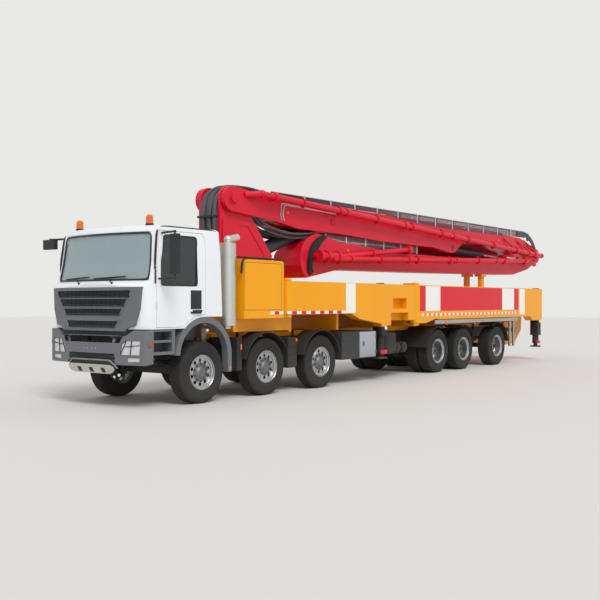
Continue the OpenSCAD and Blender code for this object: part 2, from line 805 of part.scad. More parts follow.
module boom_rest() {
    color("#e8a013") place() both_sides() {
        block([180, rest_y - 100, deck_z + 20], [280, rest_y + 100, rest_z - 60]);
        side_plate([[rest_y - 150, rest_z - 70], [rest_y + 150, rest_z - 70],
            [rest_y + 150, rest_z + 150 * arm_2_slope], [rest_y - 150, rest_z - 150 * arm_2_slope]],
                100, arm_2_half);
    }
}

// Steering knuckle: lugs above and below the axle's eye, kingpin, spindle
module knuckle(i, side) {
    y = steered[i][0];
    top = boss_h / 2 + clear;
    spindle_end = track_half - 60;
    color("#2a2c2f") place() mirror([side > 0 ? 0 : 1, 0, 0]) translate([0, y, tyre_r]) {
        translate([kingpin_x, 0, -top - lug_t]) cylinder(h = 2 * (top + lug_t), r = kingpin_r);
        for (z = [top, -top - lug_t]) {
            translate([kingpin_x, 0, z]) cylinder(h = lug_t, r = boss_r);
            block([kingpin_x, -boss_r, z], [kingpin_x + boss_r + 8 + 30, boss_r, z + lug_t]);
        }
        block([kingpin_x + boss_r + 8, -boss_r, -top - lug_t], [kingpin_x + boss_r + 38, boss_r,
            top + lug_t]);
        cross_pin(0, 0, kingpin_x + boss_r + 30, spindle_end, spindle_r);
    }
}

module knuckle_1_left() { knuckle(0, 1); }
module knuckle_1_right() { knuckle(0, -1); }
module knuckle_2_left() { knuckle(1, 1); }
module knuckle_2_right() { knuckle(1, -1); }
module knuckle_3_left() { knuckle(2, 1); }
module knuckle_3_right() { knuckle(2, -1); }
module knuckle_6_left() { knuckle(3, 1); }
module knuckle_6_right() { knuckle(3, -1); }

// Half outline of a tyre's side from the rim to the tread: radius, distance from the side face
tyre_side = [[rim_r, 24], [rim_r + 30, 6], [rim_r + 75, 0], [tyre_r - 115, 0], [tyre_r - 55, 9],
    [tyre_r - 20, 26], [tyre_r - 5, 45], [tyre_r, 70]];

// Section of one wheel, drawn as [radius, distance from the inner face]
function wheel_section(w, disc, hub_in, hub_out, bore) = concat(
    [[bore, hub_in], [135, hub_in], [135, disc - 14], [rim_r - 62, disc - 14], [rim_r - 48, disc - 30],
        [rim_r - 48, 40], [rim_r - 6, 18]],
    tyre_side,
    [for (i = [len(tyre_side) - 1:-1:0]) [tyre_side[i][0], w - tyre_side[i][1]]],
    [[rim_r - 6, w - 18], [rim_r - 48, w - 40], [rim_r - 48, disc + 10], [rim_r - 62, disc],
        [150, disc], [135, hub_out], [bore, hub_out]]);

// Inner tyre of a pair: the section has no disc
function plain_section(w) = concat([[rim_r - 48, 40], [rim_r - 6, 18]], tyre_side,
    [for (i = [len(tyre_side) - 1:-1:0]) [tyre_side[i][0], w - tyre_side[i][1]]],
    [[rim_r - 6, w - 18], [rim_r - 48, w - 40]]);

module spin_wheel(points, x0) {
    translate([x0, 0, 0]) rotate([0, 90, 0]) rotate_extrude($fn = 96) polygon(points);
}

module front_wheel(y, side, w, disc) {
    hub_in = kingpin_x + boss_r + 38 + clear - (track_half - w);
    color("#2b2c2e") place() mirror([side > 0 ? 0 : 1, 0, 0]) translate([0, y, tyre_r])
        spin_wheel(wheel_section(w, disc, hub_in, w - 50, spindle_r + 1), track_half - w);
}

module twin_wheel(y, side) {
    gap = 35;
    x_out = track_half - tyre_w;
    x_in = x_out - gap - tyre_w;
    disc = 60;
    color("#2b2c2e") place() mirror([side > 0 ? 0 : 1, 0, 0]) translate([0, y, tyre_r]) {
        spin_wheel(wheel_section(tyre_w, disc, -300, 230, 51), x_out);
        spin_wheel(plain_section(tyre_w), x_in);
        difference() {
            cross_pin(0, 0, x_in + 60, x_out + 41, rim_r - 40);
            cross_pin(0, 0, x_in + 59, x_out + 42, rim_r - 60);
        }
    }
}

module wheel_1_left() { front_wheel(0, 1, tyre_w, tyre_w - 60); }
module wheel_1_right() { front_wheel(0, -1, tyre_w, tyre_w - 60); }
module wheel_2_left() { front_wheel(axle_2, 1, tyre_w, tyre_w - 60); }
module wheel_2_right() { front_wheel(axle_2, -1, tyre_w, tyre_w - 60); }
module wheel_3_left() { front_wheel(axle_3, 1, tyre_w, tyre_w - 60); }
module wheel_3_right() { front_wheel(axle_3, -1, tyre_w, tyre_w - 60); }
module wheel_4_left() { twin_wheel(axle_4, 1); }
module wheel_4_right() { twin_wheel(axle_4, -1); }
module wheel_5_left() { twin_wheel(axle_5, 1); }
module wheel_5_right() { twin_wheel(axle_5, -1); }
module wheel_6_left() { front_wheel(axle_6, 1, wide_tyre_w, 190); }
module wheel_6_right() { front_wheel(axle_6, -1, wide_tyre_w, 190); }

// Turret: turntable, two cheek plates up to the first pivot, foot of the lift cylinder
lift_foot = [2400, 2630];
lift_eye = [4900, 3520];
lift_eye_w = 170;
fold_foot = [10500, 3240];
fold_eye = [15300, 3080];
fold_eye_w = 180;
fold_r = 135;
cheek_in = arm_half - 165;
cheek_out = arm_half - 105;
head_r = 245;

module turret() {
    cheek = concat([[1250, cheek_z], [2900, cheek_z], [2926, 2690], [2300, 3416]],
        arc(pivot_1_y, pivot_1_z, head_r + 8, 20, 180, 8), [[pivot_1_y - head_r - 8, 2870]]);
    color("#cf1126") place() {
        translate([0, column_y, turntable_z + touch]) cylinder(h = cheek_z + 1 - turntable_z, r = 700);
        both_sides() difference() {
            side_plate(cheek, cheek_in, cheek_out);
            cross_pin(pivot_1_y, pivot_1_z, 0, 600, 71);
        }
        // Foot lugs of the lift cylinder
        both_sides() difference() {
            side_plate([[lift_foot[0] - 180, cheek_z], [lift_foot[0] + 180, cheek_z],
                [lift_foot[0] + 100, 2715],
                [lift_foot[0] - 100, 2715]], 95, 135);
            cross_pin(lift_foot[0], lift_foot[1], 90, 140, 46);
        }
        // Stiffening frame on the outside of the cheeks
        both_sides() difference() {
            side_plate([[1300, cheek_z], [2860, cheek_z], [2700, 2780], [2190, 3330], [1440, 3330],
                [1440, 2870]],
                cheek_out - 1, cheek_out + 24);
            side_plate([[1700, 2620], [2660, 2620], [2600, 2760], [2150, 3240], [1900, 3240]],
                cheek_out + 12, cheek_out + 25);
        }
    }
}

// First arm: box girder with a fork at the turret and a deep end at the second pivot
arm_1_side = concat(arc(pivot_1_y, pivot_1_z, head_r, 90, 255, 9),
    [[2300, 3440], [2870, 3400], [3660, 3290], [5000, 3280], [7000, 3205], [9400, 3190], [10400, 3090],
        [10600, 3110], [11150, 3435], [13000, 3430], [14600, 3330], [15500, 3120]],
    arc(pivot_2_y, pivot_2_z, arm_end_r, 210, 420, 7),
    [[14900, 3760], [9000, 3830], [4000, 3890], [2300, 3920]]);

module arm_1() {
    fork_in = cheek_out + 12;
    lug_in = fold_r + 12;
    color("#cf1126") place() {
        difference() {
            side_plate(arm_1_side, -arm_half, arm_half);
            // Fork round the turret's head, slot over the lift cylinder, fork round the second arm
            block([-fork_in, 0, 0], [fork_in, 2700, 5000]);
            block([-lift_r - 12, 2600, 3000], [lift_r + 12, lift_eye[0] + 210, lift_eye[1] + 130]);
            block([-arm_2_half - 8, 14900, 3000], [arm_2_half + 8, 17000, 5000]);
            block([-lug_in, fold_foot[0] - 300, 3000], [lug_in, 11300, fold_foot[1] + 160]);
            cross_pin(fold_foot[0], fold_foot[1], -arm_half - 1, arm_half + 1, 46);
            cross_pin(pivot_2_y, pivot_2_z, -arm_half - 1, arm_half + 1, 71);
        }
        // Pin of the first pivot
        cross_pin(pivot_1_y, pivot_1_z, -arm_half - 40, arm_half + 40, 70);
        arm_1_pipe();
        arm_1_guard();
    }
}

pipe_x = arm_half + 170;
function arm_1_pipe_z(y) = 3870 - (y - 2300) * (3870 - pivot_2_z) / (pivot_2_y - 2300);

module arm_1_pipe() {
    z0 = arm_1_pipe_z(2300);
    pipe_run([[pipe_x - 190, 1990, z0 - 30], [pipe_x, 2300, z0], [pipe_x, pivot_2_y, pivot_2_z]], pipe_r);
    for (y = [2700, 5200, 7700, 10200, 12700, 15200]) {
        z = arm_1_pipe_z(y);
        collar([pipe_x, y, z], [0, 1, -0.045], pipe_r + 22, 90);
        block([arm_half - 2, y - 25, z - 25], [pipe_x, y + 25, z + 25]);
    }
    cross_pin(pivot_2_y, pivot_2_z, arm_half + 45, pipe_x, pipe_r - 4);
    translate([pipe_x, pivot_2_y, pivot_2_z]) sphere(r = pipe_r + ball_lip);
}

module arm_1_guard() {
    for (i = [0:12]) {
        y = 3100 + i * 930;
        block([arm_half - 50, y, 3740], [arm_half - 20, y + 40, 3990]);
        block([20 - arm_half, y, 3740], [50 - arm_half, y + 40, 3990]);
    }
    both_sides() block([arm_half - 50, 3100, 3960], [arm_half - 20, 14300, 3990]);
}

// Second arm: under the first, from the second pivot forward to the third
arm_2_half = arm_half - 53;
arm_2_side = concat(arc(pivot_2_y, pivot_2_z, 220, 270, 450, 8),
    [[15700, 3300], [15200, 3080], [14200, 3000], [8000, 2960], [5200, 3100]],
    [[4750, 3195], [4360, 3250]], arc(pivot_3_y, pivot_3_z, 508, 120, 235, 6),
    [[5200, 2480], [9000, 2520], [14500, 2600], [15600, 2800]]);

module arm_2() {
    color("#c81024") place() {
        difference() {
            side_plate(arm_2_side, -arm_2_half, arm_2_half);
            // Groove over which the lift cylinder lies
            bar([0, lift_foot[0], lift_foot[1]], [0, lift_eye[0], lift_eye[1]], lift_r + 15);
            // Slot for the fold cylinder's rod and eye
            block([-fold_eye_w / 2 - 12, 12700, 2900], [fold_eye_w / 2 + 12, 15480, 3500]);
        }
        cross_pin(pivot_2_y, pivot_2_z, -arm_half - 30, arm_half + 30, 70);
        cross_pin(pivot_3_y, pivot_3_z, -arm_half - 260, -arm_2_half + 1, 60);
        arm_2_pipe();
    }
}

module arm_2_pipe() {
    x = arm_half + 75 + pipe_r;
    a = [x, 4760, 2690];
    b = [x, 15300, 3060];
    pipe_run([[arm_2_half - 40, 4500, 2680], a, b, [x, 15700, 2950]], pipe_r);
    for (y = [5400, 7900, 10400, 12900]) {
        z = a.z + (y - a.y) * (b.z - a.z) / (b.y - a.y);
        collar([x, y, z], b - a, pipe_r + 22, 90);
        block([arm_2_half - 2, y - 25, z - 25], [x, y + 25, z + 25]);
    }
}

arm_3_x = [-arm_half - 250, -arm_half - 15];
arm_3_side = concat(arc(pivot_4_y, pivot_4_z, 200, -90, 90, 6),
    [[9000, 3190], [5400, 3150]], arc(pivot_3_y, pivot_3_z, 240, 100, 270, 6), [[5400, 2760], [9000,
        2850]]);

module arm_3() {
    color("#cf1126") place() {
        difference() {
            union() {
                side_plate(arm_3_side, arm_3_x[0], arm_3_x[1]);
                for (i = [0:6]) block([arm_3_x[1] - 40, 4900 + i * 900, 3050], [arm_3_x[1] - 20,
                    4930 + i * 900, 3330]);
                block([arm_3_x[1] - 40, 4900, 3300], [arm_3_x[1] - 20, 10330, 3330]);
            }
            cross_pin(pivot_3_y, pivot_3_z, -1200, 0, 61);
        }
        cross_pin(pivot_4_y, pivot_4_z, arm_4_x[0] - 10, arm_3_x[0] + 1, 50);
    }
}

arm_4_x = [arm_3_x[0] - 235, arm_3_x[0] - 15];
arm_4_side = concat(arc(pivot_4_y, pivot_4_z, 165, -90, 90, 6), [[9000, 3110]],
    arc(pivot_5_y, pivot_5_z, 160, 90, 270, 6), [[9000, 2760]]);

module arm_4() {
    color("#cf1126") place() {
        difference() {
            side_plate(arm_4_side, arm_4_x[0], arm_4_x[1]);
            cross_pin(pivot_4_y, pivot_4_z, -1200, 0, 51);
        }
        cross_pin(pivot_5_y, pivot_5_z, arm_5_x[0] - 15, arm_4_x[0] + 1, 40);
    }
}

arm_5_x = [arm_4_x[0] - 175, arm_4_x[0] - 15];
arm_5_side = concat(arc(pivot_5_y, pivot_5_z, 130, 90, 270, 6),
    [[tip_y - 60, pivot_5_z - 60], [tip_y, pivot_5_z - 40], [tip_y, pivot_5_z + 40], [tip_y - 60,
        pivot_5_z + 60]]);

module arm_5() {
    outlet_y = tip_y + 60;
    outlet_w = 200;
    outlet_x = (arm_5_x[0] + arm_5_x[1]) / 2;
    color("#cf1126") place() difference() {
        union() {
            side_plate(arm_5_side, arm_5_x[0], arm_5_x[1]);
            // Outlet of the delivery pipe, where the end hose is clamped
            bar([outlet_x, tip_y - 200, pivot_5_z], [outlet_x, outlet_y, pivot_5_z], pipe_r - 8);
            bar([outlet_x, outlet_y, pivot_5_z], [outlet_x, outlet_y + outlet_w, pivot_5_z], pipe_r);
        }
        cross_pin(pivot_5_y, pivot_5_z, -1300, 0, 41);
        bar([outlet_x, outlet_y + 30, pivot_5_z], [outlet_x, outlet_y + outlet_w + 1, pivot_5_z],
            pipe_r - 4);
    }
}

// Cylinders: barrel with its foot eye, rod with its head eye
module barrel(foot, head, r, length, eye_w, pin_half) {
    a = atan2(head[1] - foot[1], head[0] - foot[0]);
    neck = 230;
    color("#3c4046") place() translate([0, foot[0], foot[1]]) rotate([a, 0, 0]) {
        cross_pin(0, 0, -pin_half, pin_half, 45);
        cross_pin(0, 0, -eye_w / 2, eye_w / 2, 85);
        translate([0, 50, 0]) rotate([-90, 0, 0]) cylinder(h = neck - 49, r = min(eye_w / 2, 70));
        difference() {
            translate([0, neck, 0]) rotate([-90, 0, 0]) cylinder(h = length - neck, r = r);
            translate([0, neck + 40, 0]) rotate([-90, 0, 0]) cylinder(h = length, r = r * 0.62 + 0.5);
        }
    }
}

module piston_rod(foot, head, r, start, eye_w) {
    a = atan2(head[1] - foot[1], head[0] - foot[0]);
    reach = norm(head - foot);
    color("#c9ccd0") place() translate([0, foot[0], foot[1]]) rotate([a, 0, 0]) {
        translate([0, start, 0]) rotate([-90, 0, 0]) cylinder(h = reach - start - 60, r = r);
        difference() {
            cross_pin(reach, 0, -eye_w / 2, eye_w / 2, 95);
            cross_pin(reach, 0, -eye_w, eye_w, 46);
        }
    }
}

module lift_barrel() {
    barrel(lift_foot, lift_eye, lift_r, 2300, lift_eye_w, lift_eye_w / 2 + 55);
}

module lift_rod() {
    piston_rod(lift_foot, lift_eye, lift_r * 0.62, 280, lift_eye_w);
}

module fold_barrel() {
    barrel(fold_foot, fold_eye, fold_r, 2400, fold_eye_w, fold_r + 60);
}

module fold_rod() {
    piston_rod(fold_foot, fold_eye, fold_r * 0.62, 280, fold_eye_w);
}

// Outrigger arms, hinged at their front ends and stowed along the sides
front_arm_side = [[front_hinge_y - 125, deck_z], [4370, deck_z], [4700, 1380],
    [front_arm_end - 67, 1215], [front_arm_end, 1215],
    [front_arm_end, arm_z], [front_hinge_y - 125, arm_z]];
rear_arm_side = [[rear_hinge_y - 125, 1240], [7500, 1240], [8040, 1347], [8100, 1325],
    [rear_arm_end - 880, 1325], [rear_arm_end - 680, 1200], [rear_arm_end - 80, 1200],
    [rear_arm_end, 1260], [rear_arm_end, arm_z], [rear_hinge_y - 125, arm_z]];
// Underside of the tube round a jack
front_tube_z = 1000;
rear_tube_z = 750;

module outrigger(points, hinge_y, reach, tube_z, side) {
    x0 = deck_half - outrigger_w;
    jack_y = hinge_y + reach;
    color("#f3a90f") place() mirror([side > 0 ? 0 : 1, 0, 0]) {
        difference() {
            union() {
                difference() {
                    side_plate(points, x0, deck_half);
                    block([x0 - 1, hinge_y - 126, 0], [deck_half + 1, hinge_y, 3000]);
                }
                translate([arm_hinge_x, hinge_y, points[0][1]])
                    cylinder(h = arm_z - points[0][1], r = outrigger_w / 2);
                block([x0, jack_y - outrigger_w / 2, tube_z], [deck_half, jack_y + outrigger_w / 2, 1300]);
            }
            translate([arm_hinge_x, jack_y, 0]) cylinder(h = 3000, r = jack_r + jack_gap);
        }
        translate([arm_hinge_x, hinge_y, points[0][1] - 60])
            cylinder(h = arm_z - points[0][1] + 120, r = hinge_pin_r);
    }
}

module jack(hinge_y, reach, foot_z, side) {
    color("#33363a") place() mirror([side > 0 ? 0 : 1, 0, 0]) translate([arm_hinge_x, hinge_y + reach,
        foot_z]) {
        cylinder(h = 40, r1 = foot_r, r2 = foot_r - 25);
        translate([0, 0, 39]) cylinder(h = 70, r = 60);
        translate([0, 0, 108]) cylinder(h = arm_z - foot_z + 20 - 108, r = jack_r);
    }
}

module outrigger_front_left() { outrigger(front_arm_side, front_hinge_y, front_reach, front_tube_z, 1); }
module outrigger_front_right() { outrigger(front_arm_side, front_hinge_y, front_reach, front_tube_z, -1); }
module outrigger_rear_left() { outrigger(rear_arm_side, rear_hinge_y, rear_reach, rear_tube_z, 1); }
module outrigger_rear_right() { outrigger(rear_arm_side, rear_hinge_y, rear_reach, rear_tube_z, -1); }
module jack_front_left() { jack(front_hinge_y, front_reach, front_foot_z, 1); }
module jack_front_right() { jack(front_hinge_y, front_reach, front_foot_z, -1); }
module jack_rear_left() { jack(rear_hinge_y, rear_reach, rear_foot_z, 1); }
module jack_rear_right() { jack(rear_hinge_y, rear_reach, rear_foot_z, -1); }

chassis_frame();
axles();
cab_shell();
cab_glass();
front_fascia();
lamps();
cab_interior();
mudguards();
exhaust();
engine();
side_boxes();
deck();
pedestal();
hopper();
side_rails();
boom_rest();
door_left();
door_right();
door_glass_left();
door_glass_right();
mirror_left();
mirror_right();
knuckle_1_left();
knuckle_1_right();
knuckle_2_left();
knuckle_2_right();
knuckle_3_left();
knuckle_3_right();
knuckle_6_left();
knuckle_6_right();
wheel_1_left();
wheel_1_right();
wheel_2_left();
wheel_2_right();
wheel_3_left();
wheel_3_right();
wheel_4_left();
wheel_4_right();
wheel_5_left();
wheel_5_right();
wheel_6_left();
wheel_6_right();
turret();
arm_1();
arm_2();
arm_3();
arm_4();
arm_5();
lift_barrel();
lift_rod();
fold_barrel();
fold_rod();
outrigger_front_left();
outrigger_front_right();
outrigger_rear_left();
outrigger_rear_right();
jack_front_left();
jack_front_right();
jack_rear_left();
jack_rear_right();
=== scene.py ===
# Truck-mounted concrete pump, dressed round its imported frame.
# The truck faces -Y and its left side is +X; lengths are metres.
import math
import bmesh
import bpy
from mathutils import Matrix, Vector


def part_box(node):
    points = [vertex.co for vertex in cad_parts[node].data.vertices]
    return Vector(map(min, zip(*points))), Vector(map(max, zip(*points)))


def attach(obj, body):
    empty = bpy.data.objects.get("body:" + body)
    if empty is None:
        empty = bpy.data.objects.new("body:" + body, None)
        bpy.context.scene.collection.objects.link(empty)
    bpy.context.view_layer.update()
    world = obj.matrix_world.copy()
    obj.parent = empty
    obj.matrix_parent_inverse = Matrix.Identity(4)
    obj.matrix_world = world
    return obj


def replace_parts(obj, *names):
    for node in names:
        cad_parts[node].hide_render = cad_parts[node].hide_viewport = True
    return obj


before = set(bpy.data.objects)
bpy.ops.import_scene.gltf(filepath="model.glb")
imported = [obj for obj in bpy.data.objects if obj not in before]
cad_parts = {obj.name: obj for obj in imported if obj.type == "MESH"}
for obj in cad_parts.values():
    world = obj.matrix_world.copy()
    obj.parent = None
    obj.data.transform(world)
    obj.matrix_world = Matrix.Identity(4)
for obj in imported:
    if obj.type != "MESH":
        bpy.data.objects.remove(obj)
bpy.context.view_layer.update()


def middle(node):
    low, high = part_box(node)
    return (low + high) / 2


firstAxle = middle("wheel_1_left").y   # places along the truck are counted from the first axle


def spot(x, y, z):
    return Vector((x, y + firstAxle, z))


# Shapes

def addBlock(bm, low, high, edge=0.0, turn=None):
    low, high = Vector(low), Vector(high)
    size = Matrix.Diagonal((*(high - low), 1))
    place = Matrix.Translation((low + high) / 2) @ (turn or Matrix.Identity(4)) @ size
    verts = bmesh.ops.create_cube(bm, size=1, matrix=place)["verts"]
    if edge:
        edges = list({e for v in verts for e in v.link_edges})
        bmesh.ops.bevel(bm, geom=edges, offset=edge, offset_type="OFFSET", segments=2, profile=0.5,
            affect="EDGES", material=-1, clamp_overlap=True)


def along(start, end):
    way = Vector(end) - Vector(start)
    return Matrix.Translation(start) @ way.to_track_quat("Z", "Y").to_matrix().to_4x4(), way.length


def addRod(bm, start, end, radius, sides=16, endRadius=None):
    place, length = along(start, end)
    return bmesh.ops.create_cone(bm, cap_ends=True, cap_tris=False, segments=sides, radius1=radius,
        radius2=radius if endRadius is None else endRadius, depth=length,
        matrix=place @ Matrix.Translation((0, 0, length / 2)))["verts"]


def addBar(bm, start, end, width, height):
    # square bar from point to point, its height upright
    place, length = along(start, end)
    size = Matrix.Diagonal((width, height, length, 1))
    bmesh.ops.create_cube(bm, size=1, matrix=place @ Matrix.Translation((0, 0, length / 2)) @ size)


def addBall(bm, centre, radius, sides=16):
    bmesh.ops.create_uvsphere(bm, u_segments=sides, v_segments=sides // 2, radius=radius,
        matrix=Matrix.Translation(centre))


def roundedPath(points, radius, steps=5):
    # a line with its corners turned to curves
    points = [Vector(p) for p in points]
    path = [points[0]]
    for before, corner, after in zip(points, points[1:], points[2:]):
        reach = min(radius, (before - corner).length * 0.45, (after - corner).length * 0.45)
        start = corner + (before - corner).normalized() * reach
        end = corner + (after - corner).normalized() * reach
        for step in range(steps + 1):
            t = step / steps
            path.append(start * (1 - t) ** 2 + corner * 2 * t * (1 - t) + end * t ** 2)
    return path + [points[-1]]


def addPipe(bm, path, radius, sides=12):
    # a round section carried along the path, ring to ring
    turn = None
    rings = []
    for i, point in enumerate(path):
        way = (path[min(i + 1, len(path) - 1)] - path[max(i - 1, 0)]).normalized()
        step = (Vector((0, 0, 1)) if turn is None else lastWay).rotation_difference(way)
        turn = step if turn is None else step @ turn
        lastWay = way
        capEnd = i in (0, len(path) - 1)
        ring = bmesh.ops.create_circle(bm, cap_ends=capEnd, segments=sides, radius=radius,
            matrix=Matrix.Translation(point) @ turn.to_matrix().to_4x4())["verts"]
        rings.append(list({e for v in ring for e in v.link_edges}))
    for near, far in zip(rings, rings[1:]):
        bmesh.ops.bridge_loops(bm, edges=near + far)


def vertsOf(geometry):
    return [part for part in geometry if isinstance(part, bmesh.types.BMVert)]


def addPlate(bm, outline, place, thickness):
    # a flat outline in its own plane, thickened along its normal
    verts = [bm.verts.new(place @ Vector((u, v, 0))) for u, v in outline]
    face = bm.faces.new(verts)
    made = bmesh.ops.extrude_face_region(bm, geom=[face])["geom"]
    push = (place.to_3x3() @ Vector((0, 0, 1))).normalized() * thickness
    bmesh.ops.translate(bm, vec=push, verts=vertsOf(made))


# turns outlines drawn as (x, z) to a plane square to Y
upright = Matrix(((1, 0, 0, 0), (0, 0, 1, 0), (0, 1, 0, 0), (0, 0, 0, 1)))


def frontPlane(y):
    return Matrix.Translation(spot(0, y, 0)) @ upright


def sidePlane(x):
    # outlines as (y, z) on a plane square to X, y counted from the first axle
    turn = Matrix(((0, 0, 1, 0), (1, 0, 0, 0), (0, 1, 0, 0), (0, 0, 0, 1)))
    return Matrix.Translation(spot(x, 0, 0)) @ turn


def addTurned(bm, profile, steps=48):
    # profile as (radius, x), spun about the X axis
    verts = [bm.verts.new((x, 0, radius)) for radius, x in profile]
    edges = [bm.edges.new(pair) for pair in zip(verts, verts[1:])]
    bmesh.ops.spin(bm, geom=verts + edges, cent=(0, 0, 0), axis=(1, 0, 0), angle=2 * math.pi, steps=steps,
        use_merge=True, use_duplicate=False)


def addSkin(bm, across, up, steps, surface, thickness=0.003):
    # a sheet laid on a curved surface, across and up being its ends there
    verts = bmesh.ops.create_grid(bm, x_segments=steps[0], y_segments=steps[1], size=0.5)["verts"]
    faces = list({f for v in verts for f in v.link_faces})
    for vert in verts:
        vert.co = surface(across[0] + (across[1] - across[0]) * (vert.co.x + 0.5),
            up[0] + (up[1] - up[0]) * (vert.co.y + 0.5), thickness)
    bmesh.ops.solidify(bm, geom=faces, thickness=thickness)


def tracedPath(points, surface, out, radius, step=0.08):
    # a line drawn as (x, z) and laid on a curved surface
    flat = roundedPath([(x, 0, z) for x, z in points], radius)
    traced = []
    for start, end in zip(flat, flat[1:]):
        count = max(1, round((end - start).length / step))
        traced += [start.lerp(end, k / count) for k in range(count)]
    return [surface(point.x, point.z, out) for point in traced + [flat[-1]]]


def mirrorX(bm):
    made = bmesh.ops.duplicate(bm, geom=bm.verts[:] + bm.edges[:] + bm.faces[:])["geom"]
    bmesh.ops.scale(bm, vec=(-1, 1, 1), verts=vertsOf(made))


def addBlocks(bm, rows):
    # rows of two corners, counted from the first axle, and the width of the edge
    for low, high, edge in rows:
        addBlock(bm, spot(*low), spot(*high), edge)


def addRods(bm, rows):
    # rows of two ends, counted from the first axle, the radius, the sides and, in a cone, the end's radius
    for start, end, *shape in rows:
        addRod(bm, spot(*start), spot(*end), *shape)


def addPad(bm, side, x, half, front, rear, foot, top, edge=0.0):
    # a block centred on x of the given side
    addBlock(bm, spot(side * x - half, front, foot), spot(side * x + half, rear, top), edge)


def placedPath(points, radius, steps=5):
    # a rounded line through places counted from the first axle
    return roundedPath([spot(*point) for point in points], radius, steps)


def trapeze(low, high, foot, top):
    # outline as (x, z) from the half widths at its foot and its top
    return [(-low, foot), (low, foot), (high, top), (-high, top)]


def seamed(edge):
    # a closed outline that starts and ends in the middle of its first side
    mid = ((edge[0][0] + edge[1][0]) / 2, edge[0][1])
    return [mid, *edge[1:], edge[0], mid]


def piece(name, bm, material, body, sharp=40):
    bmesh.ops.remove_doubles(bm, verts=bm.verts, dist=0.00005)
    bmesh.ops.recalc_face_normals(bm, faces=bm.faces)
    mesh = bpy.data.meshes.new(name)
    bm.to_mesh(mesh)
    bm.free()
    mesh.shade_smooth()
    mesh.set_sharp_from_angle(angle=math.radians(sharp))
    mesh.materials.append(material)
    made = bpy.data.objects.new(name, mesh)
    bpy.context.scene.collection.objects.link(made)
    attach(made, body)
    return made


# Finishes

def linear(hexColour):
    channels = [int(hexColour[i:i + 2], 16) / 255 for i in (1, 3, 5)]
    return tuple(c / 12.92 if c <= 0.04045 else ((c + 0.055) / 1.055) ** 2.4 for c in channels) + (1,)


def perMetre(millimetres):
    return 1000 / millimetres


def addNode(material, kind, settings=None, values=None, feeds=None):
    node = material.node_tree.nodes.new("ShaderNode" + kind)
    for key, value in (settings or {}).items():
        setattr(node, key, value)
    for key, value in (values or {}).items():
        node.inputs[key].default_value = value
    for key, source in (feeds or {}).items():
        material.node_tree.links.new(source, node.inputs[key])
    return node


def feed(material, source, socket):
    material.node_tree.links.new(source, socket)


def startFinish(name, values):
    material = bpy.data.materials.new(name)
    material.use_nodes = True
    material.node_tree.nodes.clear()
    shader = addNode(material, "BsdfPrincipled", values=values)
    addNode(material, "OutputMaterial", feeds={"Surface": shader.outputs["BSDF"]})
    place = addNode(material, "TexCoord").outputs["Object"]
    return material, shader, place


def toneColour(material, shader, place, look):
    # slow change of tone over the surface, and road dust that thickens towards the ground
    cloud = addNode(material, "TexNoise", values={"Scale": perMetre(look["toneSize"]), "Detail": 4.0},
        feeds={"Vector": place})
    tone = addNode(material, "Mix", {"data_type": "RGBA"}, {6: linear(look["colour"]),
        7: linear(look["shade"])}, {0: cloud.outputs["Fac"]})
    height = addNode(material, "SeparateXYZ", feeds={"Vector": place})
    low = addNode(material, "MapRange", values={"From Min": look["dustTop"], "From Max": 0.2, "To Min": 0.0,
        "To Max": look["dust"]}, feeds={"Value": height.outputs["Z"]})
    patch = addNode(material, "Math", {"operation": "MULTIPLY"}, feeds={0: low.outputs["Result"],
        1: cloud.outputs["Fac"]})
    dusty = addNode(material, "Mix", {"data_type": "RGBA"}, {7: linear("#8f877a")},
        {0: patch.outputs[0], 6: tone.outputs[2]})
    feed(material, dusty.outputs[2], shader.inputs["Base Color"])
    return cloud


def surfaceBump(material, shader, place, size, height, edge=0.0):
    grain = addNode(material, "TexNoise", values={"Scale": perMetre(size), "Detail": 3.0},
        feeds={"Vector": place})
    bump = addNode(material, "Bump", values={"Strength": 0.5, "Distance": height},
        feeds={"Height": grain.outputs["Fac"]})
    if edge:
        soft = addNode(material, "Bevel", {"samples": 4}, {"Radius": edge})
        feed(material, soft.outputs[0], bump.inputs["Normal"])
    feed(material, bump.outputs[0], shader.inputs["Normal"])
    return grain


def sprayedEnamel(name, look):
    # two-pack enamel on sheet steel: even colour under a clear gloss, with faint orange peel
    material, shader, place = startFinish(name, {"Roughness": look["roughness"], "Coat Weight": look["coat"],
        "Coat Roughness": 0.08, "Specular IOR Level": look["gloss"]})
    toneColour(material, shader, place, look)
    surfaceBump(material, shader, place, 9, 0.0005, look["edge"])
    return material


def mouldedPolypropylene(name, look):
    # injection-moulded bumper and mudguard plastic: no gloss coat, fine leather-like grain
    material, shader, place = startFinish(name, {"Roughness": look["roughness"], "Specular IOR Level": 0.4})
    toneColour(material, shader, place, look)
    surfaceBump(material, shader, place, 4, 0.0006, 0.006)
    return material


def agedRubber(name, look):
    # carbon-black rubber: nearly matt, greyed by dust in the low places
    material, shader, place = startFinish(name, {"Roughness": look["roughness"], "Specular IOR Level": 0.3})
    toneColour(material, shader, place, look)
    surfaceBump(material, shader, place, 7, 0.0008)
    return material


def bareMetal(name, look):
    # steel or aluminium with no paint: metallic, its roughness broken by handling and rain
    material, shader, place = startFinish(name, {"Metallic": 1.0, "Roughness": look["roughness"]})
    cloud = toneColour(material, shader, place, look)
    streak = addNode(material, "MapRange", values={"To Min": look["roughness"] * 0.7,
        "To Max": look["roughness"] * 1.5}, feeds={"Value": cloud.outputs["Fac"]})
    feed(material, streak.outputs["Result"], shader.inputs["Roughness"])
    surfaceBump(material, shader, place, 6, 0.0003)
    return material


